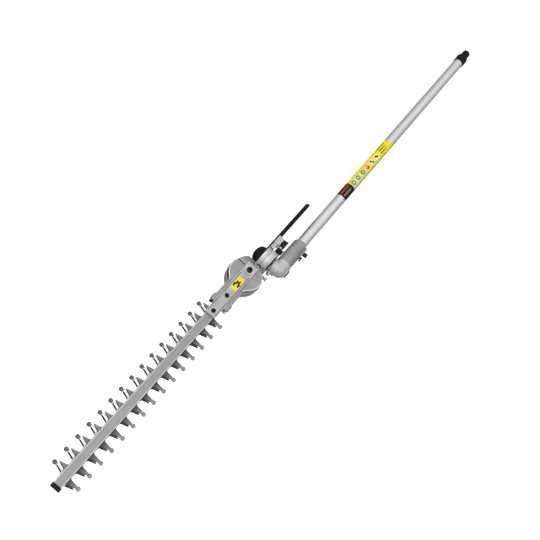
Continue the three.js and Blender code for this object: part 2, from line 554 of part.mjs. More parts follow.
function addCutters() {
  add('upperBlade', 'upper_blade', finish.bladeSteel, bladeSolid(-1, REST_SLIDE, BLADE_GAP));
  add('lowerBlade', 'lower_blade', finish.bladeSteel, bladeSolid(1, -REST_SLIDE, -BLADE_GAP - BLADE_THICK));

  const bar = block([BAR_TIP, BAR_ROOT], [-BAR_HALF, BAR_HALF], [BAR_BOTTOM, BAR_TOP]);
  const bladeScrewBores = BLADE_SCREW_X.map((x) => rod(2.7, 4.2, 'z', [x, 0, BAR_BOTTOM - 1], 12));
  const spineScrewBore = rod(2.8, 9, 'z', [SPINE_SCREW_X[0], 0, 2], 12);
  add('head', 'guide_bar', finish.barSilver, cut(solid(bar), ...bladeScrewBores, spineScrewBore));

  // Black cap that wraps the bar's tip.
  const capHalf = BAR_HALF + CAP_WALL;
  const capHeight = [BAR_BOTTOM - 7, BAR_TOP + CAP_WALL];
  const capOuter = block([BAR_TIP - 4.5, BAR_TIP + 3.5], [-capHalf, capHalf], capHeight);
  const roomHalf = BAR_HALF + GAP;
  const roomHeight = [BAR_BOTTOM - GAP, BAR_TOP + GAP];
  const barRoom = block([BAR_TIP - GAP, BAR_TIP + 4], [-roomHalf, roomHalf], roomHeight);
  add('head', 'bar_tip_cap', finish.blackPlastic, cut(solid(capOuter), barRoom));

  const bladeScrew = [
    [0, -8.6], [7.5, -8.6], [7.5, -6.6], [4.6, -6.6], [4.6, -3.1], [2.4, -3.1], [2.4, 6], [0, 6],
  ];
  BLADE_SCREW_X.forEach((x, i) => {
    add('head', `blade_screw_${i + 1}`, finish.shaftSteel, turned(bladeScrew, 'z', [x, 0, 0], COARSE));
  });
}

addPole();
addDrive();
addCase();
addJoint();
addCutters();

// The whole tool stands with its lowest point on Z = 0, and the middle of its length and width is the origin.
tool.updateMatrixWorld(true);
const box = new THREE.Box3().setFromObject(tool, true);
tool.position.set(-(box.min.x + box.max.x) / 2, -(box.min.y + box.max.y) / 2, -box.min.z);

const group = new THREE.Group();
group.add(tool);
export default group;
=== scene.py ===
"""Hedge trimmer on a pole: finished pieces, materials, floor, lights and camera.

Pieces are shaped in millimetres from one point: X = 0 is the tilt axis, Y = 0 the middle of the blade
and Z = 0 the plane between the two blades. piece() then puts each one in its place.
"""
import json
import math

import bmesh
import bpy
from mathutils import Matrix, Vector


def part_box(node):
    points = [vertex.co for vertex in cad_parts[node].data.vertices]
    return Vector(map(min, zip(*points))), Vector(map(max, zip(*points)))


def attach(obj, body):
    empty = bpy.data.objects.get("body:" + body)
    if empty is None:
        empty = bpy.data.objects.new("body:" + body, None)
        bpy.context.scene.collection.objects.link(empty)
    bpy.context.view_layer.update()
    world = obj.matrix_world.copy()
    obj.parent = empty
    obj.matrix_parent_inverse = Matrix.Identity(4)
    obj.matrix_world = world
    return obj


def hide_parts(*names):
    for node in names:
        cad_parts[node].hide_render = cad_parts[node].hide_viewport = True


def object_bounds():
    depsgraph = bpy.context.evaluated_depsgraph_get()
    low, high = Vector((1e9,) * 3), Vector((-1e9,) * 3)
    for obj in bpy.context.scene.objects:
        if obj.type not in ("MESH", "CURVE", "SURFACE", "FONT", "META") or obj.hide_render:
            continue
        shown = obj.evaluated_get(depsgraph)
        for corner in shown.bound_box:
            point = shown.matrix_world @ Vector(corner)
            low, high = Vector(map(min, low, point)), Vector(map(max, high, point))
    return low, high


scene = bpy.context.scene
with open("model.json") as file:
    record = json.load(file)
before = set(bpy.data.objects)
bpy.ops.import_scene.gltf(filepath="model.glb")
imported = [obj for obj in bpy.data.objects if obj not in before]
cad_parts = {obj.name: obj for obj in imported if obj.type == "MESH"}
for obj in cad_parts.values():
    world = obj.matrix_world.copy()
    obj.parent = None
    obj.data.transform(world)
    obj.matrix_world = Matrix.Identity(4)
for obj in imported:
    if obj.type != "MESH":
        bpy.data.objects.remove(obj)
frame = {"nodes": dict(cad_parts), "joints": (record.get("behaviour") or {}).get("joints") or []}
cad_low, cad_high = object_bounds()

# ---- Where the shaping bench sits in the frame ----
tilt_joint = next(j for j in frame["joints"] if j["name"] == "head_tilt")
bar_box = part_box("guide_bar")
HALF_BLADE_GAP = 0.15
BENCH = Vector((
    tilt_joint["pos_m"][0],
    (bar_box[0].y + bar_box[1].y) / 2,
    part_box("upper_blade")[0].z - HALF_BLADE_GAP / 1000,
))
TO_FRAME = Matrix.Translation(BENCH) @ Matrix.Scale(0.001, 4)


def span(node):
    """Lowest and highest corner of a CAD node, in bench millimetres."""
    low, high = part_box(node)
    return (low - BENCH) * 1000, (high - BENCH) * 1000


tube_low, tube_high = span("shaft_tube")
POLE_Y = (tube_low.y + tube_high.y) / 2
PIVOT_Z = (tube_low.z + tube_high.z) / 2
TUBE_R = (tube_high.z - tube_low.z) / 2
CRANK_X = -62
BODY_R = 40
NECK_HALF = 20.5
NECK_END = -157
FILLET = 16
CASE_TOP = 17
CASE_SPLIT = -3.2
CASE_FLOOR = -26
SPINE_SCREW_X = (-176.7, -131.3)
MAIN_BOLT_X = -56.4
LUG_BOLT_Y = 19
SHAFT_ROOM_R = 9.3
DRUM_R = 26.5
DISC_R = 32
NOTCH_COUNT = 12
FIRST_NOTCH, NOTCH_STEP = -75, 15  # degrees
BLADE_SCREW_X = (-206, -301, -396, -491, -586)
BLADE_THICK = 2.5
PLAY = 0.3  # room between pieces that must not touch


# ---- Shaping ----
def recalc(bm):
    bmesh.ops.recalc_face_normals(bm, faces=bm.faces)
    return bm


def soften(bm, width, segments=2, from_angle=30):
    """Rounds every edge sharper than from_angle."""
    limit = math.radians(from_angle)
    sharp = [e for e in bm.edges if len(e.link_faces) == 2 and e.calc_face_angle() > limit]
    bmesh.ops.bevel(bm, geom=sharp, offset=width, offset_type="OFFSET", segments=segments,
                    profile=0.5, affect="EDGES", clamp_overlap=True, material=-1)
    return bm


def brick(x, y, z, rounding=0, segments=2):
    bm = bmesh.new()
    bmesh.ops.create_cube(bm, size=1)
    size = Vector((x[1] - x[0], y[1] - y[0], z[1] - z[0]))
    middle = Vector((x[0] + x[1], y[0] + y[1], z[0] + z[1])) / 2
    bmesh.ops.scale(bm, vec=size, verts=bm.verts)
    bmesh.ops.translate(bm, vec=middle, verts=bm.verts)
    return soften(bm, rounding, segments) if rounding else bm


AXIS_TURN = {
    "x": Matrix.Rotation(math.pi / 2, 4, "Y"),
    "y": Matrix.Rotation(-math.pi / 2, 4, "X"),
    "z": Matrix.Identity(4),
}


def turned(profile, axis, at, sides=96):
    """A lathe shape. The profile is [radius, distance along the axis]; off the axis it closes itself."""
    bm = bmesh.new()
    points = [bm.verts.new((radius, 0, along)) for radius, along in profile]
    line = [bm.edges.new(pair) for pair in zip(points, points[1:])]
    if profile[0][0] > 0:
        line.append(bm.edges.new((points[-1], points[0])))
    bmesh.ops.spin(bm, geom=points + line, cent=(0, 0, 0), axis=(0, 0, 1), angle=2 * math.pi,
                   steps=sides, use_merge=True, use_duplicate=False)
    bmesh.ops.remove_doubles(bm, verts=bm.verts, dist=1e-4)
    bmesh.ops.transform(bm, matrix=Matrix.Translation(at) @ AXIS_TURN[axis], verts=bm.verts)
    return recalc(bm)


def rod(radius, length, axis, at, sides=48, chamfer=0):
    if chamfer:
        return turned([(0, 0), (radius - chamfer, 0), (radius, chamfer), (radius, length - chamfer),
                       (radius - chamfer, length), (0, length)], axis, at, sides)
    return turned([(0, 0), (radius, 0), (radius, length), (0, length)], axis, at, sides)


def sleeve(outer, inner, length, axis, at, sides=96, chamfer=0.4):
    c = chamfer
    return turned([(inner + c, 0), (outer - c, 0), (outer, c), (outer, length - c), (outer - c, length),
                   (inner + c, length), (inner, length - c), (inner, c)], axis, at, sides)


def prism(points, low, high, along="z"):
    """A flat outline raised along an axis: [x, y] along z, [x, z] along y, [y, z] along x."""
    spot, rise = {
        "z": (lambda a, b: (a, b, low), (0, 0, high - low)),
        "y": (lambda a, b: (a, low, b), (0, high - low, 0)),
        "x": (lambda a, b: (low, a, b), (high - low, 0, 0)),
    }[along]
    bm = bmesh.new()
    face = bm.faces.new([bm.verts.new(spot(a, b)) for a, b in points])
    raised = bmesh.ops.extrude_face_region(bm, geom=[face], use_keep_orig=True)["geom"]
    bmesh.ops.translate(bm, vec=rise, verts=[v for v in raised if isinstance(v, bmesh.types.BMVert)])
    return recalc(bm)


def arc(x, y, radius, start, end, steps=12):
    angles = [start + (end - start) * i / steps for i in range(steps + 1)]
    return [(x + radius * math.cos(angle), y + radius * math.sin(angle)) for angle in angles]


def rounded(x, y, r, steps=6):
    quarter = math.pi / 2
    corners = [(x[1] - r, y[1] - r), (x[0] + r, y[1] - r), (x[0] + r, y[0] + r), (x[1] - r, y[0] + r)]
    points = []
    for i, (cx, cy) in enumerate(corners):
        points += arc(cx, cy, r, i * quarter, (i + 1) * quarter, steps)
    return points


def merged(*parts):
    whole = parts[0]
    for extra in parts[1:]:
        mesh = bpy.data.meshes.new("extra")
        extra.to_mesh(mesh)
        extra.free()
        whole.from_mesh(mesh)
        bpy.data.meshes.remove(mesh)
    return whole


def add_object(name, data):
    obj = bpy.data.objects.new(name, data)
    scene.collection.objects.link(obj)
    return obj


def as_object(name, bm):
    """Turns a shape into an object of the scene and frees it."""
    mesh = bpy.data.meshes.new(name)
    bm.to_mesh(mesh)
    bm.free()
    return add_object(name, mesh)


def carved(body, cutters=(), keep=None, voxel=0, smooth=0):
    """The body less the cutters and inside keep. A voxel size melts it into one cast skin."""
    blank = as_object("blank", body)
    used = [blank]
    steps = [("INTERSECT", keep)] if keep else []
    if cutters:
        steps.append(("DIFFERENCE", merged(*cutters)))
    for operation, shape in steps:
        tool = as_object("tool", shape)
        used.append(tool)
        modifier = blank.modifiers.new("carve", "BOOLEAN")
        modifier.operation = operation
        modifier.solver = "EXACT"
        modifier.use_self = True
        modifier.object = tool
    if voxel:
        modifier = blank.modifiers.new("cast", "REMESH")
        modifier.mode = "VOXEL"
        modifier.voxel_size = voxel
    graph = bpy.context.evaluated_depsgraph_get()
    result = bmesh.new()
    result.from_mesh(blank.evaluated_get(graph).data)
    for leftover in used:
        mesh = leftover.data
        bpy.data.objects.remove(leftover)
        bpy.data.meshes.remove(mesh)
    for _ in range(smooth):
        bmesh.ops.smooth_vert(result, verts=result.verts, factor=0.5,
                              use_axis_x=True, use_axis_y=True, use_axis_z=True)
    return result


def paint(bm, *rules):
    """Gives each face the number of the first rule whose test holds. A test takes a centre and a normal."""
    bm.normal_update()
    for face in bm.faces:
        centre, normal = face.calc_center_median(), face.normal
        face.material_index = next((number for number, test in rules if test(centre, normal)), 0)
    return bm


def piece(name, bm, body, finishes, replaces=(), smooth_below=32):
    """Puts a bench shape in its place and makes it ride on a body of the frame."""
    bmesh.ops.transform(bm, matrix=TO_FRAME, verts=bm.verts)
    obj = as_object(name, bm)
    obj.data.shade_smooth()
    obj.data.set_sharp_from_angle(angle=math.radians(smooth_below))
    for look in finishes:
        obj.data.materials.append(look)
    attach(obj, body)
    if replaces:
        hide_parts(*replaces)
    return obj


# ---- Effects that several finishes share ----
def effect(name, inputs, outputs):
    tree = bpy.data.node_groups.new(name, "ShaderNodeTree")
    for label, default in inputs:
        socket = tree.interface.new_socket(label, in_out="INPUT", socket_type="NodeSocketFloat")
        socket.default_value = default
    for label in outputs:
        tree.interface.new_socket(label, in_out="OUTPUT", socket_type="NodeSocketFloat")
    return tree, tree.nodes.new("NodeGroupInput"), tree.nodes.new("NodeGroupOutput")


def node(tree, kind, links=(), **settings):
    """Adds a node. links pairs an input's name or number with an output socket or a plain value."""
    made = tree.nodes.new(kind)
    for key, value in settings.items():
        setattr(made, key, value)
    for key, value in links:
        if isinstance(value, bpy.types.NodeSocket):
            tree.links.new(value, made.inputs[key])
        else:
            made.inputs[key].default_value = value
    return made


def ranged(tree, value, low, high, to_low=0, to_high=1):
    return node(tree, "ShaderNodeMapRange", [
        ("Value", value), ("From Min", low), ("From Max", high), ("To Min", to_low), ("To Max", to_high),
    ]).outputs["Result"]


def math_of(tree, operation, a, b=0):
    return node(tree, "ShaderNodeMath", [(0, a), (1, b)], operation=operation).outputs[0]


def own_place(tree):
    return node(tree, "ShaderNodeTexCoord").outputs["Object"]


def noise(tree, scale, detail=3, roughness=0.5, vector=None):
    return node(tree, "ShaderNodeTexNoise", [
        ("Vector", vector or own_place(tree)), ("Scale", scale), ("Detail", detail),
        ("Roughness", roughness)]).outputs["Fac"]


def make_edge_wear():
    """Rubbed edges: 1 on a worn edge, broken up by patches."""
    tree, given, out = effect("edge wear", [("Reach", 0.04), ("Patch Scale", 300)], ["Mask"])
    flat = 0.5
    bend = node(tree, "ShaderNodeNewGeometry").outputs["Pointiness"]
    high = math_of(tree, "ADD", given.outputs["Reach"], flat)
    edge = ranged(tree, bend, flat + 0.005, high)
    patch = ranged(tree, noise(tree, given.outputs["Patch Scale"], 4), 0.35, 0.62)
    tree.links.new(math_of(tree, "MULTIPLY", edge, patch), out.inputs["Mask"])
    return tree


def clouds(tree, given, share):
    """Slow patches of tone, at a small share of the grain's own scale."""
    slow = noise(tree, math_of(tree, "MULTIPLY", given.outputs["Scale"], share), 3)
    return ranged(tree, slow, 0.3, 0.7)


def make_cast_grain():
    """Die-cast skin: fine pitting over slow waves, and a cloudy tone."""
    tree, given, out = effect("cast grain", [("Scale", 900)], ["Height", "Cloud"])
    fine = noise(tree, given.outputs["Scale"], 4, 0.6)
    slow = noise(tree, math_of(tree, "MULTIPLY", given.outputs["Scale"], 0.12), 2)
    total = math_of(tree, "ADD", math_of(tree, "MULTIPLY", fine, 0.7), math_of(tree, "MULTIPLY", slow, 0.5))
    tree.links.new(total, out.inputs["Height"])
    tree.links.new(clouds(tree, given, 0.05), out.inputs["Cloud"])
    return tree


def make_drawn_lines():
    """Long fine lines along X, as drawn tube and milled bar show."""
    tree, given, out = effect("drawn lines", [("Across", 1500), ("Along", 12)], ["Height", "Streak"])
    stretch = node(tree, "ShaderNodeCombineXYZ", [
        ("X", given.outputs["Along"]), ("Y", given.outputs["Across"]), ("Z", given.outputs["Across"])])
    scaled = node(tree, "ShaderNodeVectorMath", [(0, own_place(tree)), (1, stretch.outputs[0])],
                  operation="MULTIPLY")
    lines = noise(tree, 1, 3, 0.6, scaled.outputs[0])
    tree.links.new(lines, out.inputs["Height"])
    tree.links.new(ranged(tree, lines, 0.35, 0.65), out.inputs["Streak"])
    return tree


def make_moulded_grain():
    """Spark-eroded plastic skin: small rounded cells."""
    tree, given, out = effect("moulded grain", [("Scale", 1600)], ["Height", "Cloud"])
    cells = node(tree, "ShaderNodeTexVoronoi", [
        ("Vector", own_place(tree)), ("Scale", given.outputs["Scale"])], feature="SMOOTH_F1")
    tree.links.new(cells.outputs["Distance"], out.inputs["Height"])
    tree.links.new(clouds(tree, given, 0.04), out.inputs["Cloud"])
    return tree


def make_smudges():
    """Handling marks and settled dust that make the gloss uneven."""
    tree, given, out = effect("smudges", [("Scale", 60)], ["Mask"])
    broad = noise(tree, given.outputs["Scale"], 5, 0.65)
    tree.links.new(ranged(tree, broad, 0.4, 0.7), out.inputs["Mask"])
    return tree


GROUPS = {
    "wear": make_edge_wear(),
    "cast": make_cast_grain(),
    "drawn": make_drawn_lines(),
    "moulded": make_moulded_grain(),
    "smudges": make_smudges(),
}


def placed(tree, group, **values):
    made = node(tree, "ShaderNodeGroup", node_tree=GROUPS[group])
    for key, value in values.items():
        made.inputs[key.replace("_", " ")].default_value = value
    return made


def grey(value):
    return (value, value, value * 1.01, 1)


def blend(tree, factor, a, b):
    mixed = tree.nodes.new("ShaderNodeMix")
    mixed.data_type = "RGBA"
    for key, value in (("Factor", factor), ("A", a), ("B", b)):
        socket = next(s for s in mixed.inputs if s.name == key and s.enabled)
        if isinstance(value, bpy.types.NodeSocket):
            tree.links.new(value, socket)
        else:
            socket.default_value = value
    return next(s for s in mixed.outputs if s.enabled)


def finish(name, tones, metal, rough, grain, grain_values, bump, wear=None, reach=0.05, gloss=0.5,
           colour=None):
    """One finish: two tones clouded by its grain, uneven gloss, a fine bump and rubbed edges.

    colour(tree, cloud) may give another base colour socket, such as one that follows the shape to paint
    shade and highlight across a blade.
    """
    material = bpy.data.materials.new(name)
    material.use_nodes = True
    tree = material.node_tree
    shader = tree.nodes["Principled BSDF"]
    skin = placed(tree, grain, **grain_values)
    cloud = skin.outputs[1]
    tone = colour(tree, cloud) if colour else blend(tree, cloud, *tones)
    if wear:
        edges = placed(tree, "wear", Reach=reach)
        tone = blend(tree, edges.outputs["Mask"], tone, wear)
    tree.links.new(tone, shader.inputs["Base Color"])
    marks = placed(tree, "smudges")
    tree.links.new(ranged(tree, marks.outputs["Mask"], 0, 1, *rough), shader.inputs["Roughness"])
    relief = node(tree, "ShaderNodeBump", [
        ("Strength", bump), ("Distance", 0.0002), ("Height", skin.outputs["Height"])])
    tree.links.new(relief.outputs["Normal"], shader.inputs["Normal"])
    shader.inputs["Metallic"].default_value = metal
    shader.inputs["Specular IOR Level"].default_value = gloss
    return material


TOOTH_SPAN = 40  # the painted shade and highlight tones are set this far to each side of the blade's middle


def shade_and_highlight_across_blade(stops):
    """Painted shade and highlight: a tone that changes with Y across the blade, in millimetres, so the short
    teeth differ from the long.
    """
    def colour(tree, cloud):
        y = node(tree, "ShaderNodeSeparateXYZ", [(0, own_place(tree))]).outputs["Y"]
        reach = TOOTH_SPAN / 1000
        across = ranged(tree, y, BENCH.y - reach, BENCH.y + reach)
        ramp = tree.nodes.new("ShaderNodeValToRGB")
        while len(ramp.color_ramp.elements) < len(stops):
            ramp.color_ramp.elements.new(0.5)
        for element, (distance, value) in zip(ramp.color_ramp.elements, stops):
            element.position = (distance + TOOTH_SPAN) / (2 * TOOTH_SPAN)
            element.color = grey(value)
        tree.links.new(across, ramp.inputs["Fac"])
        shade = ranged(tree, cloud, 0, 1, 0.9, 1.08)
        return node(tree, "ShaderNodeVectorMath", [(0, ramp.outputs["Color"]), (1, shade)],
                    operation="MULTIPLY").outputs[0]
    return colour


# Painted light across each blade, as pairs of a distance in mm and a grey. The darkest greys paint shade on
# tooth roots, on the far blade's ball tips and on teeth under the other blade. The 0.8 to 0.9 greys paint a
# reflection on the far blade's long teeth.
UPPER_SHADE_AND_HIGHLIGHT = [(-38, 0.3), (-35, 0.36), (-33, 0.22), (-29, 0.24), (-25, 0.2), (-15, 0.1), (-10, 0.06),
               (10, 0.16), (27, 0.26)]
LOWER_SHADE_AND_HIGHLIGHT = [(-27, 0.2), (-18, 0.12), (-11, 0.03), (9, 0.3), (14, 0.8), (25, 0.9), (28.5, 0.1), (36, 0.08)]
drawn_aluminium = finish("drawn tube aluminium", (grey(0.64), grey(0.75)), 0.85, (0.27, 0.38), "drawn",
                         {"Across": 900, "Along": 9}, 0.12)
cast_case = finish("cast case aluminium", (grey(0.27), grey(0.34)), 0.5, (0.45, 0.58), "cast",
                   {"Scale": 900}, 0.35, grey(0.6), 0.05)
cast_light = finish("cast joint aluminium", (grey(0.46), grey(0.55)), 0.5, (0.42, 0.55), "cast",
                    {"Scale": 900}, 0.3, grey(0.7), 0.05)
# Lighter copy of the cast finish, painted on upward rims and edges as a highlight.
cast_painted_highlight = finish("cast rim painted highlight", (grey(0.6), grey(0.7)), 0.5, (0.4, 0.5), "cast", {"Scale": 900}, 0.25)
# Near-black copy of the cast finish, painted in grooves, a slot and on shaded walls as shade.
cast_painted_shade = finish("cast painted shade", (grey(0.06), grey(0.09)), 0.2, (0.6, 0.75), "cast",
                    {"Scale": 900}, 0.3, gloss=0.2)
spine_finish = finish("cast spine aluminium", (grey(0.35), grey(0.43)), 0.5, (0.4, 0.52), "cast",
                      {"Scale": 1100}, 0.25, grey(0.75), 0.04)
bar_middle = finish("milled bar", (grey(0.25), grey(0.31)), 0.6, (0.4, 0.52), "drawn",
                    {"Across": 1500, "Along": 10}, 0.2)
# Lighter copy of the milled bar, painted on the bar's edge lands and chamfers as a highlight. The main bolt
# washer uses it too.
bar_land_highlight = finish("milled bar land painted highlight", (grey(0.55), grey(0.66)), 0.6, (0.32, 0.45), "drawn",
                  {"Across": 1700, "Along": 10}, 0.15)
upper_face = finish("upper blade face painted shade and highlight", None, 0.5, (0.38, 0.52), "drawn", {"Across": 700, "Along": 300}, 0.2,
                    gloss=0.3, colour=shade_and_highlight_across_blade(UPPER_SHADE_AND_HIGHLIGHT))
lower_face = finish("lower blade face painted shade and highlight", None, 0.5, (0.38, 0.5), "drawn", {"Across": 700, "Along": 300}, 0.2,
                    gloss=0.3, colour=shade_and_highlight_across_blade(LOWER_SHADE_AND_HIGHLIGHT))
blade_edge = finish("ground tooth edge", (grey(0.3), grey(0.4)), 0.6, (0.35, 0.46), "drawn",
                    {"Across": 900, "Along": 300}, 0.15)
# Near-black painted shade for the walls and tipward flank bevels of the teeth.
blade_wall_shade = finish("tooth wall painted shade", (grey(0.006), grey(0.012)), 0, (0.6, 0.75), "cast",
                    {"Scale": 1500}, 0.3, gloss=0.12)
bright_steel = finish("turned steel", (grey(0.34), grey(0.44)), 0.8, (0.28, 0.4), "drawn",
                      {"Across": 1200, "Along": 1200}, 0.12, grey(0.7), 0.06)
black_steel = finish("blackened steel", (grey(0.005), grey(0.009)), 0.1, (0.42, 0.56), "cast",
                     {"Scale": 1500}, 0.2, grey(0.035), 0.05, gloss=0.12)
black_plastic = finish("grained black plastic", (grey(0.004), grey(0.008)), 0, (0.5, 0.64), "moulded",
                       {"Scale": 1400}, 0.25, grey(0.02), 0.06, gloss=0.12)
soft_rubber = finish("bush rubber", (grey(0.02), grey(0.035)), 0, (0.7, 0.85), "moulded", {"Scale": 900},
                     0.3, gloss=0.2)


def print_finish(name, colour, second):
    return finish(name, (colour, second), 0, (0.4, 0.52), "moulded", {"Scale": 700}, 0.05, gloss=0.15)


yellow_film = print_finish("yellow film", (0.84, 0.74, 0.005, 1), (0.79, 0.68, 0.004, 1))
black_film = print_finish("black film", (0.005, 0.005, 0.006, 1), (0.009, 0.009, 0.01, 1))
INKS = {
    "orange": print_finish("orange print", (0.5, 0.06, 0.012, 1), (0.42, 0.05, 0.01, 1)),
    "grey": print_finish("grey print", (0.3, 0.3, 0.31, 1), (0.24, 0.24, 0.25, 1)),
    "blue": print_finish("blue print", (0.001, 0.22, 0.8, 1), (0.001, 0.19, 0.72, 1)),
    "white": print_finish("white print", (0.86, 0.86, 0.86, 1), (0.8, 0.8, 0.82, 1)),
    "pink": print_finish("pink print", (0.66, 0.14, 0.14, 1), (0.6, 0.11, 0.11, 1)),
    "black": black_film,
}

# ---- Camera, high above the joint ----
LEAN = math.radians(27.3)  # the pole's end leans away from the camera
AIM = BENCH + Vector((-0.0113, -0.0326, 0))
DISTANCE = 1.657
ACROSS, UPWARDS = 0.6587, 0.7524
right = Vector((ACROSS * math.cos(LEAN), -UPWARDS, ACROSS * math.sin(LEAN)))
up = Vector((UPWARDS * math.cos(LEAN), ACROSS, UPWARDS * math.sin(LEAN)))
back = Vector((-math.sin(LEAN), 0, math.cos(LEAN)))
camera_data = bpy.data.cameras.new("camera")
camera_data.lens = 50.6
camera_data.sensor_width = 36
camera_data.clip_end = 50
camera = add_object("camera", camera_data)
turn = Matrix((right, up, back)).transposed().to_4x4()
camera.matrix_world = Matrix.Translation(AIM + back * DISTANCE) @ turn
scene.camera = camera


# ---- Pole ----
def on_pole(x):
    return (x, POLE_Y, PIVOT_Z)


def make_tube():
    wall = 1.5
    inner = TUBE_R - wall
    start, end = tube_low.x, tube_high.x
    rim = 0.4
    profile = [(inner, start), (TUBE_R - rim, start), (TUBE_R, start + rim)]
    steps = 24
    profile += [(TUBE_R, start + rim + (end - start - 2 * rim) * i / steps) for i in range(1, steps)]
    profile += [(TUBE_R, end - rim), (TUBE_R - rim, end), (inner, end)]
    piece("pole_tube", turned(profile, "x", on_pole(0), 128), "pole",
          [drawn_aluminium], ["shaft_tube"])


def make_end_cap():
    low, high = span("tube_end_cap")
    x = [low.x, high.x]
    collar_end = x[0] + 27.5
    mouth = tube_high.x + PLAY
    sides = 96
    rib_rise = 0.45
    profile = [
        (TUBE_R + PLAY, x[0]), (13.9, x[0]), (14.2, x[0] + 0.4), (14.2, x[0] + 3), (14.6, x[0] + 3.4),
        (14.6, x[0] + 5), (14.2, x[0] + 5.4), (14.2, collar_end - 4), (14.2, collar_end - 2.2),
        (12.9, collar_end - 0.3), (12.2, collar_end), (10.9, collar_end), (10.3, collar_end + 0.6),
        (10.3, x[1] - 2.2), (10, x[1] - 1), (9.2, x[1] - 0.2), (8.6, x[1]), (5.4, x[1]), (5, x[1] - 0.5),
        (5, mouth), (TUBE_R + PLAY, mouth),
    ]
    bm = turned(profile, "x", on_pole(0), sides)
    middle = Vector(on_pole(0))
    ribs = []  # two facets in three, raised round the collar
    for face in bm.faces:
        centre = face.calc_center_median()
        if x[0] + 5.6 < centre.x < collar_end - 4 and (centre - middle).yz.length > 14:
            angle = math.atan2(centre.z - middle.z, centre.y - middle.y)
            if round(angle / (2 * math.pi) * sides - 0.5) % 3 != 0:
                ribs.append(face)
    raised = bmesh.ops.extrude_face_region(bm, geom=ribs)["geom"]
    for vert in [v for v in raised if isinstance(v, bmesh.types.BMVert)]:
        out = (vert.co - middle).yz.normalized()
        vert.co.y += out.x * rib_rise
        vert.co.z += out.y * rib_rise
    bmesh.ops.delete(bm, geom=ribs, context="FACES")
    recalc(bm)
    piece("pole_end_cap", bm, "pole", [black_plastic], ["tube_end_cap"])


def wrap(bm, radius):
    """Bends a flat sheet in X and S round the pole: S = 0 is the top, and positive S goes to +Y."""
    for vert in bm.verts:
        angle = vert.co.y / TUBE_R
        reach = radius + vert.co.z
        vert.co.y = POLE_Y + reach * math.sin(angle)
        vert.co.z = PIVOT_Z + reach * math.cos(angle)
    return bm


def film(points, thick, cell, normal=(0, 1, 0)):
    """A flat outline as a thin sheet, cut into cells along the normal so that it can bend."""
    bm = prism(points, 0, thick)
    reaches = [a * normal[0] + b * normal[1] for a, b in points]
    low, high = min(reaches), max(reaches)
    count = max(2, int((high - low) / cell))
    for i in range(1, count):
        spot = Vector(normal) * (low + (high - low) * i / count)
        bmesh.ops.bisect_plane(bm, geom=bm.verts[:] + bm.edges[:] + bm.faces[:], plane_co=spot,
                               plane_no=normal)
    return bm


def box_points(x, s, r=0.6):
    return rounded(x, s, r, 3)


def disc_points(x, s, r, squash=1):
    return [(x + a * squash, s + b) for a, b in arc(0, 0, r, 0, 2 * math.pi, 28)[:-1]]


LABEL_SPLIT = 292
MARKS_START = LABEL_SPLIT - 4


def stick(name, bm, look):
    piece(name, bm, "pole", [look], smooth_below=60)


def make_labels():
    lift = TUBE_R + 0.04
    degree = TUBE_R * math.pi / 180  # length of one degree round the tube
    cell = 1.4
    yellow = film(box_points((LABEL_SPLIT, LABEL_SPLIT + 172.5), (-44 * degree, 118 * degree)), 0.1, cell)
    stick("yellow_wrap_label", wrap(yellow, lift), yellow_film)
    black = film(box_points((LABEL_SPLIT - 41, LABEL_SPLIT - 0.1), (-66 * degree, 118 * degree)), 0.12, cell)
    stick("black_wrap_label", wrap(black, lift), black_film)

    marks = {ink: [] for ink in INKS}
    print_lift = lift + 0.17  # just above both films

    def mark(ink, points, level=0):
        marks[ink].append(wrap(film(points, 0.05, 1.2), print_lift + 0.06 * level))

    # Name panel with plain bars in place of words.
    panel_x = LABEL_SPLIT - 37
    for i in range(5):
        x = panel_x + i * 6.9
        mark("orange", box_points((x, x + 5.6), (4.6, 9.6), 0.5))
    for s, length in ((-1.8, 30), (-4.2, 26)):
        mark("grey", box_points((panel_x + 1, panel_x + 1 + length), (s - 0.7, s + 0.7), 0.3))

    # Three blue discs, one pink disc and two white squares, each with a plain bar or dot.
    mark_s = 1
    for i, x in enumerate((14, 33, 54)):
        mark("blue", disc_points(MARKS_START + x, mark_s, 6.4))
        mark("white", disc_points(MARKS_START + x, mark_s, 2.3, 1.3 - 0.3 * i), 1)
    pink_x = MARKS_START + 74
    mark("pink", disc_points(pink_x, mark_s, 6.2))
    mark("white", disc_points(pink_x - 1.5, mark_s + 1, 2.6), 1)
    mark("black", box_points((pink_x - 2.5, pink_x + 3.5), (mark_s - 3.2, mark_s - 0.4), 0.4), 2)
    for offset, flip in ((95, 1), (116, -1)):
        x = MARKS_START + offset
        mark("white", box_points((x - 6.4, x + 6.4), (mark_s - 6.2, mark_s + 6.2), 0.8))
        above, below = mark_s + flip * 0.6, mark_s - flip * 0.8
        mark("black", box_points((x - 4.8, x + 1), (above - 0.4, above + 4.2), 0.4), 1)
        mark("black", box_points((x - 1, x + 4.8), (below - 4.2, below + 0.4), 0.4), 1)
    text_x = MARKS_START + 132.5
    for s, shift, length in ((4.6, 0, 22), (3.2, 2, 26), (-1.8, 0, 28), (-3.2, 0, 20)):
        mark("black", box_points((text_x + shift, text_x + shift + length), (s - 0.5, s + 0.5), 0.2))
    for s, length in ((9.5, 34), (11.2, 30), (13, 32)):
        mark("orange", box_points((text_x, text_x + length), (s - 0.4, s + 0.4), 0.2))
    for ink, parts in marks.items():
        stick(f"label_marks_{ink}", merged(*parts), INKS[ink])


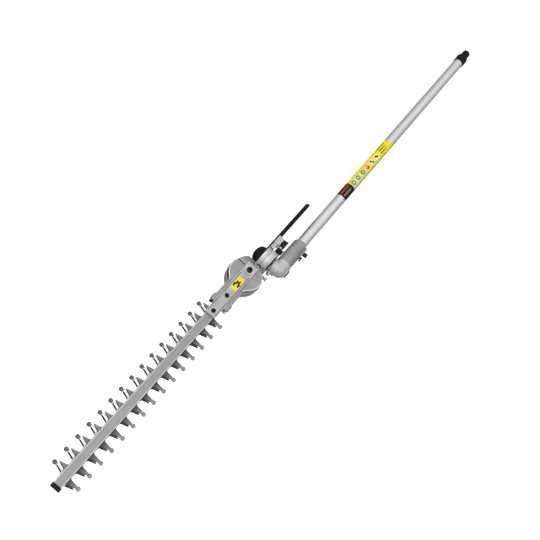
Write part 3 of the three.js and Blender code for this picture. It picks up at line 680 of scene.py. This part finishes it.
def socket_screw(head_r, head_h, shank_r, shank_l, axis, at, flip=False):
    """A cap screw: round head with a six-sided socket, standing on local Z = 0."""
    head = turned([(0, 0), (head_r - 0.3, 0), (head_r, 0.3), (head_r, head_h - 0.7), (head_r - 0.7, head_h),
                   (0, head_h)], "z", (0, 0, 0), 48)
    shank = rod(shank_r, shank_l + 0.5, "z", (0, 0, -shank_l), 24)
    key = rod(head_r * 0.52, head_h, "z", (0, 0, head_h * 0.35), 6)
    screw = carved(merged(head, shank), [key])
    if flip:
        bmesh.ops.rotate(screw, cent=(0, 0, 0), matrix=Matrix.Rotation(math.pi, 3, "X"), verts=screw.verts)
    bmesh.ops.transform(screw, matrix=Matrix.Translation(at) @ AXIS_TURN[axis], verts=screw.verts)
    return screw


def make_socket():
    low, high = span("tube_socket")
    start, end = low.x, high.x
    outer = 17
    screw_x, screw_z = 70.5, PIVOT_Z + 4.6
    slot_x = 57
    barrel = turned([(12, start), (outer - 0.6, start), (outer, start + 0.6), (outer, end - 4.4),
                     (outer - 0.6, end - 3.4), (outer - 2.7, end - 0.4), (outer - 3.2, end), (12, end)],
                    "x", on_pole(0))
    band = turned([(15, start + 1.6), (outer + 0.5, start + 1.6), (outer + 0.5, start + 6), (15, start + 6)],
                  "x", on_pole(0))
    ear = brick((58, 86), (POLE_Y - 19, POLE_Y - 10), (PIVOT_Z - 8, PIVOT_Z + 8), 1.6, 3)
    rib = brick((start + 8, 56), (POLE_Y - 17.8, POLE_Y - 10), (PIVOT_Z - 2.2, PIVOT_Z + 2.2), 1)
    bore = rod(TUBE_R + PLAY, 60, "x", on_pole(41.5), 96)
    seat = rod(12, 30, "x", on_pole(start - 4), 96)
    split = brick((56, 92), (POLE_Y - 24, POLE_Y - 8), (PIVOT_Z - 0.8, PIVOT_Z + 0.8))
    hole = rod(3.3, 12, "y", (screw_x, POLE_Y - 22, screw_z), 24)
    skin = carved(merged(barrel, band, ear, rib), [bore, seat, split, hole], voxel=0.55, smooth=2)
    piece("clamp_socket", skin, "pole", [cast_case], ["tube_socket"], smooth_below=60)
    piece("clamp_cap_screw", socket_screw(5, 9, 3, 5.4, "y", (screw_x, POLE_Y - 19.2, screw_z), True),
          "pole", [black_steel], ["clamp_screw"])
    slot_cut = brick((slot_x - 6, slot_x + 6), (POLE_Y - 25, POLE_Y - 22), (PIVOT_Z - 0.7, PIVOT_Z + 0.7))
    head = turned([(0, 0), (4.6, 0), (5.5, 0.8), (5.5, 3.6), (0, 3.6)], "y",
                  (slot_x, POLE_Y - 22.9, PIVOT_Z), 48)
    piece("locating_slot_screw", carved(head, [slot_cut]), "pole", [black_steel],
          ["locating_screw"])


def make_round_gear_case():
    start = span("tube_socket")[0].x - PLAY
    r = 18.5
    depth = 15
    plug_x = 6.5
    nose = [(r * math.sin(math.pi / 2 * i / 16), -depth * math.cos(math.pi / 2 * i / 16)) for i in range(17)]
    shell = turned([*nose, (r, start - 3), (r + 0.5, start - 2.6), (r + 0.5, start - 0.3), (r + 0.2, start),
                    (0, start)], "x", on_pole(0))
    neck = turned([(0, 0), (19, 0), (19, 17.2), (18.2, 18), (0, 18)], "y", (0, POLE_Y + 1.2, PIVOT_Z))
    lug = brick((-22, -9), (-38, -29.5), (PIVOT_Z - 5, PIVOT_Z + 5), 1.2)
    boss = rod(10.5, 2.2, "y", (plug_x, POLE_Y - 18.7, PIVOT_Z), 48)
    shaft_space = rod(14.5, 40, "x", on_pole(-8), 64)
    cross_space = rod(14, 24, "y", (0, POLE_Y, PIVOT_Z), 64)
    skin = carved(merged(shell, neck, lug, boss), [shaft_space, cross_space], voxel=0.55, smooth=2)
    piece("round_gear_case", skin, "pole", [cast_light], ["upper_gear_case"],
          smooth_below=60)
    plug = rod(9, 2.8, "y", (plug_x, POLE_Y - 21.6, PIVOT_Z), 64, 0.3)
    key = rod(4, 3, "y", (plug_x, POLE_Y - 23, PIVOT_Z), 6)
    piece("filler_plug", carved(plug, [key]), "pole", [black_steel], ["case_plug"])
    nut = turned([(0, 0), (3.9, 0), (4.5, 0.5), (4.5, 4), (0, 4)], "x", (-26.4, -34, PIVOT_Z), 6)
    piece("lug_hex_nut", soften(nut, 0.15, 1), "pole", [bright_steel], ["lug_nut"])


def make_lock_disc():
    piece("turning_sleeve", sleeve(17, 14, 11.8, "y", (0, -27, PIVOT_Z)), "pole",
          [bright_steel], ["pivot_sleeve"])
    disc = sleeve(DISC_R, 17 + PLAY, 2.5, "y", (0, -26.7, PIVOT_Z), 144, 0.25)
    notches = []
    for i in range(NOTCH_COUNT):
        notch = brick((DISC_R - 4, DISC_R + 4), (-28, -23), (-4.3, 4.3))
        swing = Matrix.Rotation(math.radians(FIRST_NOTCH + NOTCH_STEP * i), 4, "Y")
        spot = Matrix.Translation((0, 0, PIVOT_Z)) @ swing
        bmesh.ops.transform(notch, matrix=spot, verts=notch.verts)
        notches.append(notch)
    piece("notched_disc", carved(disc, notches), "pole", [black_steel], ["detent_disc"])


# ---- Lower gear case ----
def case_plan(inset, steps=24):
    """Plan of the case: round body, neck with hollow corners, and a rear that narrows to the joint."""
    r = BODY_R - inset
    neck = NECK_HALF - inset
    hollow = FILLET + inset
    reach = math.sqrt((r + hollow) ** 2 - (neck + hollow) ** 2)
    tangent = math.atan2(neck + hollow, reach)
    points = [(NECK_END + inset, neck), (NECK_END + inset, -neck)]
    points += arc(CRANK_X - reach, -neck - hollow, hollow, math.pi / 2, tangent, 8)
    points += arc(CRANK_X, 0, r, math.pi + tangent, 1.5 * math.pi + 0.18, steps)
    points += [(-42, -26 + inset), (-18, -24 + inset), (-18, 19 - inset), (-30, 27 - inset)]
    points += arc(CRANK_X, 0, r, math.pi / 2 - 0.1, math.pi - tangent, steps)
    points += arc(CRANK_X - reach, neck + hollow, hollow, -tangent, -math.pi / 2, 8)
    return points


def joint_room():
    return [
        rod(DRUM_R + PLAY, 60, "y", (0, -58.2, PIVOT_Z), 96),
        rod(23.2, 40, "y", (0, 1.7, PIVOT_Z), 96),
        rod(DISC_R + 1, 40, "y", (0, -63.8, PIVOT_Z), 96),
    ]


def gear_room():
    limit = brick((CRANK_X - 38, -34.9), (-60, 60), (-22.8, 12.9))
    return carved(prism(case_plan(3.5), -30, 30), keep=limit)


def shaft_path():
    return rod(SHAFT_ROOM_R, 50, "x", (-46, -10, PIVOT_Z), 48)


def case_lip(inset, low, high, room_low):
    """Flange along the split of the case, which ends before the joint."""
    room = [(NECK_END - 1, room_low), (NECK_END - 1, 0), (-36, 0), (-36, room_low)]
    return carved(prism(case_plan(inset), low, high), keep=prism(room, -50, 50, "y"))


def make_case_top():
    split = CASE_SPLIT
    profile = [(NECK_END - 1, split), (NECK_END - 1, 12), (CRANK_X - 42, 12), (CRANK_X - 37, CASE_TOP),
               (-40, CASE_TOP), (-24, 8), (-16, 8), (-16, split)]
    body = carved(prism(case_plan(0), split, CASE_TOP), keep=prism(profile, -50, 50, "y"))
    lugs = []
    for side in (1, -1):
        points = [(-156, 12), (-153, 24.5), (-140, 24.5), (-134, 12)]
        lugs.append(soften(prism([(x, y * side) for x, y in points], split, 8), 1.2))
    lip = case_lip(-0.7, split, split + 2.2, split - 1)
    cutters = [
        brick((-200, CRANK_X), (-11.5, 11.5), (split - 3, 9.2)),
        gear_room(), shaft_path(),
        brick((-50.5, -39.5), (-45, -33.8), (3.5, 14.5)),
        prism(case_plan(2.6), 16.1, 30),
        brick((-50.2, -48), (15, 33.5), (14.6, 20)),
        *[rod(1.9, 9, "x", (NECK_END - 1, y, 2.4), 20) for y in (LUG_BOLT_Y, -LUG_BOLT_Y)],
        *joint_room(),
    ]
    skin = carved(merged(body, lip, *lugs), cutters, voxel=0.62, smooth=2)
    # Painted light: upward rim and flange tops get the painted highlight. The rear slot on the +Y side, the
    # tipward wall on the +Y side and the rear walls by the joint get the painted shade.
    paint(
        skin,
        (1, lambda c, n: c.z > 16.4 and n.z > 0.3 and c.x < -52),
        (2, lambda c, n: -50.6 < c.x < -47.6 and 14.6 < c.y < 34 and 14 < c.z < 15.8),
        (1, lambda c, n: c.z < 0 and n.z > 0.35),
        (2, lambda c, n: c.z < 15.5 and n.x < -0.35 and abs(n.z) < 0.5 and -110 < c.x < CRANK_X and c.y > 0),
        (2, lambda c, n: c.x > -30 and n.z < 0.3),
    )
    piece("gear_case_top", skin, "head", [cast_case, cast_painted_highlight, cast_painted_shade],
          ["lower_case_top"], smooth_below=60)


def make_case_bottom():
    top = CASE_SPLIT - PLAY
    profile = [(NECK_END - 1, top), (NECK_END - 1, -9), (CRANK_X - 46, -12), (CRANK_X - 38, CASE_FLOOR),
               (-34, CASE_FLOOR), (-22, -20), (-16, -20), (-16, top)]
    body = carved(prism(case_plan(0), CASE_FLOOR, top), keep=prism(profile, -50, 50, "y"))
    lip = case_lip(-1.2, top - 2.6, top, top - 4)
    seat = rod(12.3, 6, "z", (CRANK_X, 0, -22.9), 64)
    skin = carved(merged(body, lip), [gear_room(), seat, shaft_path(), *joint_room()], voxel=0.7, smooth=2)
    piece("gear_case_bottom", skin, "head", [cast_case], ["lower_case_bottom"],
          smooth_below=60)
    for i, (x, y) in enumerate([(-98, 15), (-98, -15), (-36, 20), (-46, -25)]):
        screw = rod(4, 3, "z", (x, y, -29.3), 48, 0.4)
        key = brick((x - 3, x + 3), (y - 0.6, y + 0.6), (-30, -28.2))
        cross = brick((x - 0.6, x + 0.6), (y - 3, y + 3), (-30, -28.2))
        piece(f"cover_cross_screw_{i + 1}", carved(screw, [key, cross]), "head",
              [bright_steel], [f"cover_screw_{i + 1}"])


SPINE_TOP = [(-188, 14.5), (-185, 16), (-118, 17), (-100, 22), (-40, 22)]


def spine_height(x):
    for (x0, z0), (x1, z1) in zip(SPINE_TOP, SPINE_TOP[1:]):
        if x <= x1:
            return z0 + (z1 - z0) * (x - x0) / (x1 - x0)
    return SPINE_TOP[-1][1]


SPINE_GROOVE = 10.6  # distance of each long groove from the middle
SPINE_FLOOR = 14.6


def make_spine():
    points = [(-188, 9.3), *SPINE_TOP, (-38, 20), (-38, 17.3), (-102, 17.3), (-108, 12.3), (-158.3, 12.3),
              (-158.3, 9.3)]
    plate = soften(prism(points, -13, 13, "y"), 0.5, 2, 60)
    seats = [rod(5.2, 10, "z", (x, 0, 13.8), 48) for x in SPINE_SCREW_X]
    bores = [rod(2.8, 20, "z", (x, 0, 8), 24) for x in SPINE_SCREW_X]
    grooves = [brick((-184, -70), (y - 0.7, y + 0.7), (SPINE_FLOOR, 30))
               for y in (-SPINE_GROOVE, SPINE_GROOVE)]
    main = rod(4.4, 20, "z", (MAIN_BOLT_X, 0, 10), 32)
    skin = carved(plate, [*seats, *bores, main, *grooves], voxel=0.5, smooth=1)
    # Painted light: the floors of the long grooves and the rear end face get the near-black painted shade,
    # and the upward strips outside the grooves get the painted highlight.
    paint(
        skin,
        (2, lambda c, n: abs(abs(c.y) - SPINE_GROOVE) < 0.9 and c.z < spine_height(c.x) - 0.35 and c.z > 14
            and c.x < -70),
        (1, lambda c, n: n.z > 0.6 and abs(c.y) > SPINE_GROOVE + 0.8),
        (2, lambda c, n: c.x > -39.5 and n.x > 0.5),
    )
    piece("spine", skin, "head", [spine_finish, cast_painted_highlight, cast_painted_shade], ["spine_plate"],
          smooth_below=60)
    for i, (x, shank) in enumerate(zip(SPINE_SCREW_X, (4.2, 1.2))):
        piece(f"spine_cap_screw_{i + 1}", socket_screw(4.3, 4, 2.5, shank, "z", (x, 0, 14.1)), "head",
              [black_steel], [f"spine_screw_{i + 1}"])
    washer = sleeve(10.5, 4.4, 2, "z", (MAIN_BOLT_X, 0, 22.3), 96, 0.5)
    piece("main_bolt_washer", washer, "head", [bar_land_highlight], ["spine_bolt_washer"])
    bolt = socket_screw(6.6, 4.5, 4, 6.2, "z", (MAIN_BOLT_X, 0, 24.6))
    piece("main_cap_bolt", bolt, "head", [black_steel], ["spine_bolt"])


def make_sticker():
    """Yellow patch on the spine with two plain bent bars."""
    def laid(points, level, thick=0.12):
        bm = film(points, thick, 1, (1, 0, 0))
        for vert in bm.verts:
            vert.co.z += max(spine_height(vert.co.x + d) for d in (-1, 0, 1)) + level
        return bm

    def bent_bar(x, y, sign):
        path = [(x - 9, y + sign * 1.6), (x - 4, y + sign * 2.4), (x + 1, y - sign * 0.6),
                (x + 7, y + sign * 0.4)]
        upper = [(px, py + w) for (px, py), w in zip(path, (1.2, 2.9, 2.6, 1))]
        lower = [(px, py - w) for (px, py), w in zip(path, (1.2, 2.2, 2.1, 1))]
        return upper + lower[::-1]

    piece("spine_sticker", laid(rounded((-113, -81), (-7.5, 7.5), 1, 3), 0.05), "head",
          [yellow_film], smooth_below=60)
    bars = [laid(bent_bar(-98, 2.6, 1), 0.24, 0.06), laid(bent_bar(-96, -2.8, -1), 0.24, 0.06)]
    piece("sticker_bars", merged(*bars), "head", [black_film], smooth_below=60)


def make_case_fittings():
    nipple = turned([(0, 0), (4, 0), (4.4, 0.4), (4.4, 3.5), (3.4, 4.6), (3.2, 5), (3.2, 9), (3.5, 9.6),
                     (4.4, 10.4), (4.4, 12.4), (3.6, 13.5), (1.2, 13.9), (0.9, 13.2), (0, 13.2)],
                    "y", (-41, -41.5, 9), 48)
    piece("grease_fitting", nipple, "head", [cast_case], ["grease_nipple"])
    for side, label, look in ((1, "left", black_steel), (-1, "right", cast_light)):
        y = LUG_BOLT_Y * side
        head = turned([(0, -4), (3.6, -4), (4.2, -3.5), (4.2, -PLAY), (0, -PLAY)],
                      "x", (NECK_END, y, 2.4), 6)
        shank = rod(1.6, 7.2, "x", (NECK_END - 0.4, y, 2.4), 24)
        piece(f"lug_hex_bolt_{label}", merged(soften(head, 0.12, 1), shank), "head",
              [look], [f"lug_bolt_{label}"])


# ---- Tilt joint ----
def make_joint():
    r = DRUM_R
    halves = {
        "left": [(0, 1.5), (0, -0.5), (15, -0.5), (15, -8.5), (r - 1.3, -8.5), (r - 0.5, -8.2), (r, -7.4),
                 (r, -4.9), (r - 0.4, -4.6), (r - 0.4, -3.9), (r, -3.6), (r, 0.4), (r - 0.3, 1.2),
                 (r - 1.3, 1.5)],
        "right": [(17.3, -23.5), (r - 0.5, -23.5), (r, -23), (r, -20), (r - 0.5, -19.6), (r - 0.5, -18.6),
                  (r, -18.2), (r, -10.2), (r - 0.3, -9.3), (r - 1.1, -8.8), (17.3, -8.8)],
    }
    for label, profile in halves.items():
        path = rod(SHAFT_ROOM_R, 40, "x", (-46, -10, PIVOT_Z), 64)
        half = carved(turned(profile, "y", (0, 0, PIVOT_Z), 128), [path])
        piece(f"drum_{label}", half, "head", [cast_light], [f"pivot_drum_{label}"])
    dome = [(0, 5.3), (20, 5.3), (20.3, 5.6), (20.3, 7), (19.7, 7.5)]
    for i in range(1, 21):
        angle = math.pi / 2 * i / 20
        dome.append((19.7 * math.cos(angle), 7.5 + 13.1 * math.sin(angle)))
    dome[-1] = (0, 20.6)
    piece("dome_cover", turned(dome, "y", (0, 0, PIVOT_Z), 96), "head", [black_plastic],
          ["pivot_dome_cap"])


def make_lever():
    z = PIVOT_Z
    plate = arc(0, z, 22, 0.45, 2 * math.pi - 0.45, 64)
    end = 177.5
    plate += [(60, z - 7), (end - 3.5, z - 7), (end, z - 4), (end, z + 4), (end - 3.5, z + 7), (60, z + 7)]
    piece("lever_arm", soften(prism(plate, 2, 5, "y"), 0.5, 2, 50), "head", [black_steel],
          ["lever_plate"])
    grip = soften(prism(rounded((69.5, end), (z - 11, z + 11), 6, 8), -4.5, 1.7, "y"), 1.6, 4, 50)
    grooves = [brick((84 + i * 6, 86 + i * 6), (-6, -3.9), (z - 8, z + 8)) for i in range(14)]
    piece("hand_grip", carved(grip, grooves), "head", [black_plastic], ["lever_grip"])


def make_lock():
    z = PIVOT_Z
    rod_at = (41.8, -18, z)
    mount = brick((43.5, 65.5), (-12, 1.7), (z - 9, z + 9), 1.6, 3)
    foot = brick((29.8, 46), (-9, 1.7), (z - 6, z + 6), 1.2, 2)
    dimple = rod(3.2, 4, "z", (59.5, -5, z + 8), 32)
    dish = brick((46.5, 55), (-9.2, -1.2), (z + 8, z + 12))
    skin = carved(merged(mount, foot), [dimple, dish], voxel=0.4, smooth=2)
    piece("lock_housing", skin, "head", [cast_light], ["trigger_block"], smooth_below=60)
    knob = [(46.5, -24.4), (64.6, -24.6), (67.5, -24), (64.4, -19.5), (64.4, -12.5), (46.5, -12.5)]
    horn = soften(prism(knob, z - 8, z + 8), 0.9, 3)
    piece("release_button", horn, "lock_trigger", [black_plastic], ["release_trigger"])
    piece("lock_rod", rod(3, 4.4, "x", rod_at, 48, 0.2), "lock_trigger",
          [bright_steel], ["trigger_rod"])
    piece("lock_collar", sleeve(5.4, 3.3, 4.4, "x", rod_at, 64, 0.5), "lock_trigger",
          [cast_light], ["rod_collar"])
    pawl = merged(
        brick((30.2, 41.5), (-23.9, -12.5), (z - 6, z + 6), 0.7),
        brick((32.6, 41.5), (-27.2, -23), (z - 4, z + 4), 0.5),
        brick((33.5, 43.5), (-28.8, -27), (z - 6, z + 6), 0.4),
    )
    piece("lock_tooth", carved(pawl, voxel=0.35, smooth=1), "lock_trigger", [black_steel],
          ["lock_pawl"], smooth_below=60)


# ---- Cutting gear ----
PITCH = 30
TEETH = 15
TOOTH_ZERO = -176.5
STRIP_HALF = 10.5
SLOT_SHIFT = 2.75


def long_tooth():
    points = [(6.2, STRIP_HALF), (4.4, STRIP_HALF + 2), (2.9, 27)]
    points += arc(0, 32.8, 4.6, math.radians(-50), math.radians(230), 20)
    return points + [(-3.2, 27), (-7.4, STRIP_HALF + 2.4), (-9.8, STRIP_HALF)]


def short_tooth():
    return [(6.4, STRIP_HALF), (4.6, STRIP_HALF + 1.8), (1.3, 25.8), (0.6, 26.6), (-0.6, 26.6), (-1.2, 25.8),
            (-5.4, STRIP_HALF + 2.2), (-8, STRIP_HALF)]


def blade_outline(side, slide):
    root = -100
    tip = -615.5 + slide
    points = [(root, STRIP_HALF * side)]
    for i in range(TEETH):
        x = TOOTH_ZERO - i * PITCH - (PITCH / 2 if side < 0 else 0) + slide
        points += [(x + dx, y * side) for dx, y in long_tooth()]
    points += [(tip, STRIP_HALF * side), (tip, -STRIP_HALF * side)]
    for i in reversed(range(TEETH)):
        x = TOOTH_ZERO - i * PITCH - (PITCH / 2 if side > 0 else 0) + slide
        points += [(x + dx, -y * side) for dx, y in reversed(short_tooth())]
    return points + [(root, -STRIP_HALF * side)]


def flank_cutters(side, slide, top, long_width, short_width):
    """Wedges that bevel the tipward flank of each tooth; a width of 0 leaves those teeth square."""
    long_side = Matrix.Diagonal((1, side, 1, 1))
    short_side = Matrix.Diagonal((1, -side, 1, 1))
    wedges = []
    for i in range(TEETH):
        x = TOOTH_ZERO - i * PITCH + slide
        half = PITCH / 2
        flanks = [
            (long_side, x - (half if side < 0 else 0) - 7.4, (4.2, 14.1), 14.2, long_width),
            (short_side, x - (half if side > 0 else 0) - 5.4, (4.2, 13.6), 14.6, short_width),
        ]
        for mirror, start_x, (run, rise), length, width in flanks:
            if not width:
                continue
            slope = 1.4 / (width + 0.9)
            section = [(width + 0.2 / slope, top + 0.2), (-0.9, top + 0.2), (-0.9, top - 1.4)]
            wedge = prism(section, -0.4, length, "y")
            lean = Matrix.Rotation(-math.atan2(run, rise), 4, "Z")
            start = Matrix.Translation((start_x, STRIP_HALF + 2.4, 0))
            bmesh.ops.transform(wedge, matrix=mirror @ start @ lean, verts=wedge.verts)
            wedges.append(recalc(wedge))
    return wedges


def make_blade(name, side, slide, low, face_finish, body, flank_widths):
    """One blade: its long teeth point to side, and it rests at slide from the middle of its stroke."""
    thick = BLADE_THICK
    strip = prism(blade_outline(side, slide), low, low + thick)
    soften(strip, 0.45, 2, 40)
    slots = []
    for x in BLADE_SCREW_X:
        middle = x + math.copysign(SLOT_SHIFT, slide)
        slot = rounded((middle - 8.45, middle + 8.45), (-3, 3), 2.99, 8)
        slots.append(prism(slot, low - 1, low + thick + 1))
    yoke_x = CRANK_X + slide
    outer = rounded((yoke_x - 11.3, yoke_x + 11.3), (-17.3, 17.3), 5)
    inner = rounded((yoke_x - 8.7, yoke_x + 8.7), (-14.7, 14.7), 4)
    yoke = carved(prism(outer, low, low + thick), [prism(inner, low - 1, low + thick + 1)])
    tail = brick((-102, yoke_x - 9.7), (-8, 8), (low, low + thick))
    bevels = flank_cutters(side, slide, low + thick, *flank_widths)
    blade = carved(merged(strip, yoke, tail), slots + bevels)
    # Tipward-facing faces, flank bevels included, and every other wall get the near-black painted shade.
    # Flat faces keep the face finish with its painted shade and highlight, and upward bevels out on the
    # teeth get the ground edge finish.
    paint(
        blade,
        (1, lambda c, n: n.x < -0.18 and n.z > -0.5),
        (0, lambda c, n: abs(n.z) > 0.95),
        (2, lambda c, n: abs(c.y) > STRIP_HALF - 1 and n.z > 0.3),
        (1, lambda c, n: True),
    )
    piece(name, blade, body, [face_finish, blade_wall_shade, blade_edge], [body])


def make_bar():
    low, high = span("guide_bar")
    half, bottom, top = high.y, low.z, high.z
    bar_end = low.x
    section = [(-half, bottom), (half, bottom), (half, top - 0.7), (half - 0.6, top), (half - 1.6, top),
               (half - 2, top - 0.35), (-half + 2, top - 0.35), (-half + 1.6, top), (-half + 0.6, top),
               (-half, top - 0.7)]
    bar = prism(section, low.x, high.x, "x")
    bores = [rod(2.7, 4.2, "z", (x, 0, bottom - 1), 24) for x in BLADE_SCREW_X]
    bores.append(rod(2.8, 9, "z", (SPINE_SCREW_X[0], 0, 2), 24))
    bar = carved(bar, bores)
    # The edge lands and chamfers of the bar get the painted highlight.
    paint(bar, (1, lambda c, n: abs(c.y) > half - 2.1 and c.z > top - 0.5 and abs(n.x) < 0.5))
    piece("guide_rail", bar, "head", [bar_middle, bar_land_highlight], ["guide_bar"])

    low, high = span("bar_tip_cap")
    cap = brick((low.x, high.x), (low.y, high.y), (low.z, high.z), 0.6, 2)
    room = brick((bar_end - PLAY, high.x + 1), (-half - PLAY, half + PLAY), (bottom - PLAY, top + PLAY))
    piece("rail_tip_cover", carved(cap, [room]), "head", [black_plastic], ["bar_tip_cap"])
    for i, x in enumerate(BLADE_SCREW_X):
        screw = turned([(0, -8.6), (6.2, -8.6), (7.5, -7.9), (7.5, -6.6), (4.6, -6.6), (4.6, -3.1),
                        (2.4, -3.1), (2.4, 6), (0, 6)], "z", (x, 0, 0), 64)
        key = rod(3, 3, "z", (x, 0, -10.4), 6)
        piece(f"blade_shoulder_screw_{i + 1}", carved(screw, [key]), "head",
              [bright_steel], [f"blade_screw_{i + 1}"])


make_tube()
make_end_cap()
make_labels()
make_socket()
make_round_gear_case()
make_lock_disc()
make_case_top()
make_case_bottom()
make_spine()
make_sticker()
make_case_fittings()
make_joint()
make_lever()
make_lock()
make_blade("near_blade", -1, 3, HALF_BLADE_GAP, upper_face, "upper_blade", (0, 1.3))
make_blade("far_blade", 1, -3, -HALF_BLADE_GAP - BLADE_THICK, lower_face, "lower_blade", (3, 2.2))
make_bar()

# ---- Finishes of the inner pieces that keep their frame shape ----
inner_finishes = {
    soft_rubber: ["shaft_bush_1", "shaft_bush_2", "shaft_bush_3", "shaft_bush_4"],
    bright_steel: [
        "shaft_bearing", "cross_bearing", "pinion_bearing", "crank_bearing", "crank_wheel", "pinion_shaft",
        "inner_bevel_gear", "crank_pinion", "cross_shaft", "upper_bevel_gear", "lower_bevel_gear",
        "drive_shaft", "drive_bevel_gear",
    ],
}
for material, names in inner_finishes.items():
    for name in names:
        shown = frame["nodes"][name]
        shown.data.materials.clear()
        shown.data.materials.append(material)


# ---- Floor, sky and lamps ----
FLOOR_DROP = 0.66  # room for the blade when the head is turned right down


def make_floor():
    bm = bmesh.new()
    bmesh.ops.create_grid(bm, x_segments=2, y_segments=2, size=12)
    bmesh.ops.translate(bm, vec=(0, 0, cad_low[2] - FLOOR_DROP), verts=bm.verts)
    floor = as_object("floor", bm)
    material = bpy.data.materials.new("pale floor")
    material.use_nodes = True
    tree = material.node_tree
    shader = tree.nodes["Principled BSDF"]
    tone = blend(tree, noise(tree, 3, 2), (0.93, 0.93, 0.93, 1), (0.95, 0.95, 0.95, 1))
    seen = node(tree, "ShaderNodeLightPath").outputs["Is Camera Ray"]
    tree.links.new(blend(tree, seen, (0.4, 0.4, 0.4, 1), tone), shader.inputs["Base Color"])
    tree.links.new(blend(tree, seen, (0, 0, 0, 1), (1, 1, 1, 1)), shader.inputs["Emission Color"])
    shader.inputs["Emission Strength"].default_value = 0.3
    shader.inputs["Roughness"].default_value = 0.9
    shader.inputs["Specular IOR Level"].default_value = 0.1
    floor.data.materials.append(material)


def lamp(name, place, aim, size, watts):
    data = bpy.data.lights.new(name, "AREA")
    data.shape = "RECTANGLE"
    data.size, data.size_y = size
    data.energy = watts
    obj = add_object(name, data)
    place = Vector(place)
    turned_to = (place - Vector(aim)).to_track_quat("Z", "Y").to_matrix().to_4x4()
    obj.matrix_world = Matrix.Translation(place) @ turned_to


make_floor()
world = bpy.data.worlds.new("soft sky")
scene.world = world
world.use_nodes = True
sky = world.node_tree
direction = node(sky, "ShaderNodeTexCoord").outputs["Generated"]
height = node(sky, "ShaderNodeSeparateXYZ", [(0, direction)]).outputs["Z"]
brightness = ranged(sky, height, 0.1, 0.8, to_low=0.4, to_high=1.1)
background = sky.nodes["Background"]
background.inputs["Color"].default_value = (1, 1, 1, 1)
seen = node(sky, "ShaderNodeLightPath").outputs["Is Camera Ray"]
strength = math_of(sky, "MAXIMUM", seen, brightness)
sky.links.new(strength, background.inputs["Strength"])
lamp("key lamp", (-0.5, 0.9, 2.3), (-0.1, 0, 0), (1.8, 1.4), 14)
scene.view_settings.view_transform = "Standard"
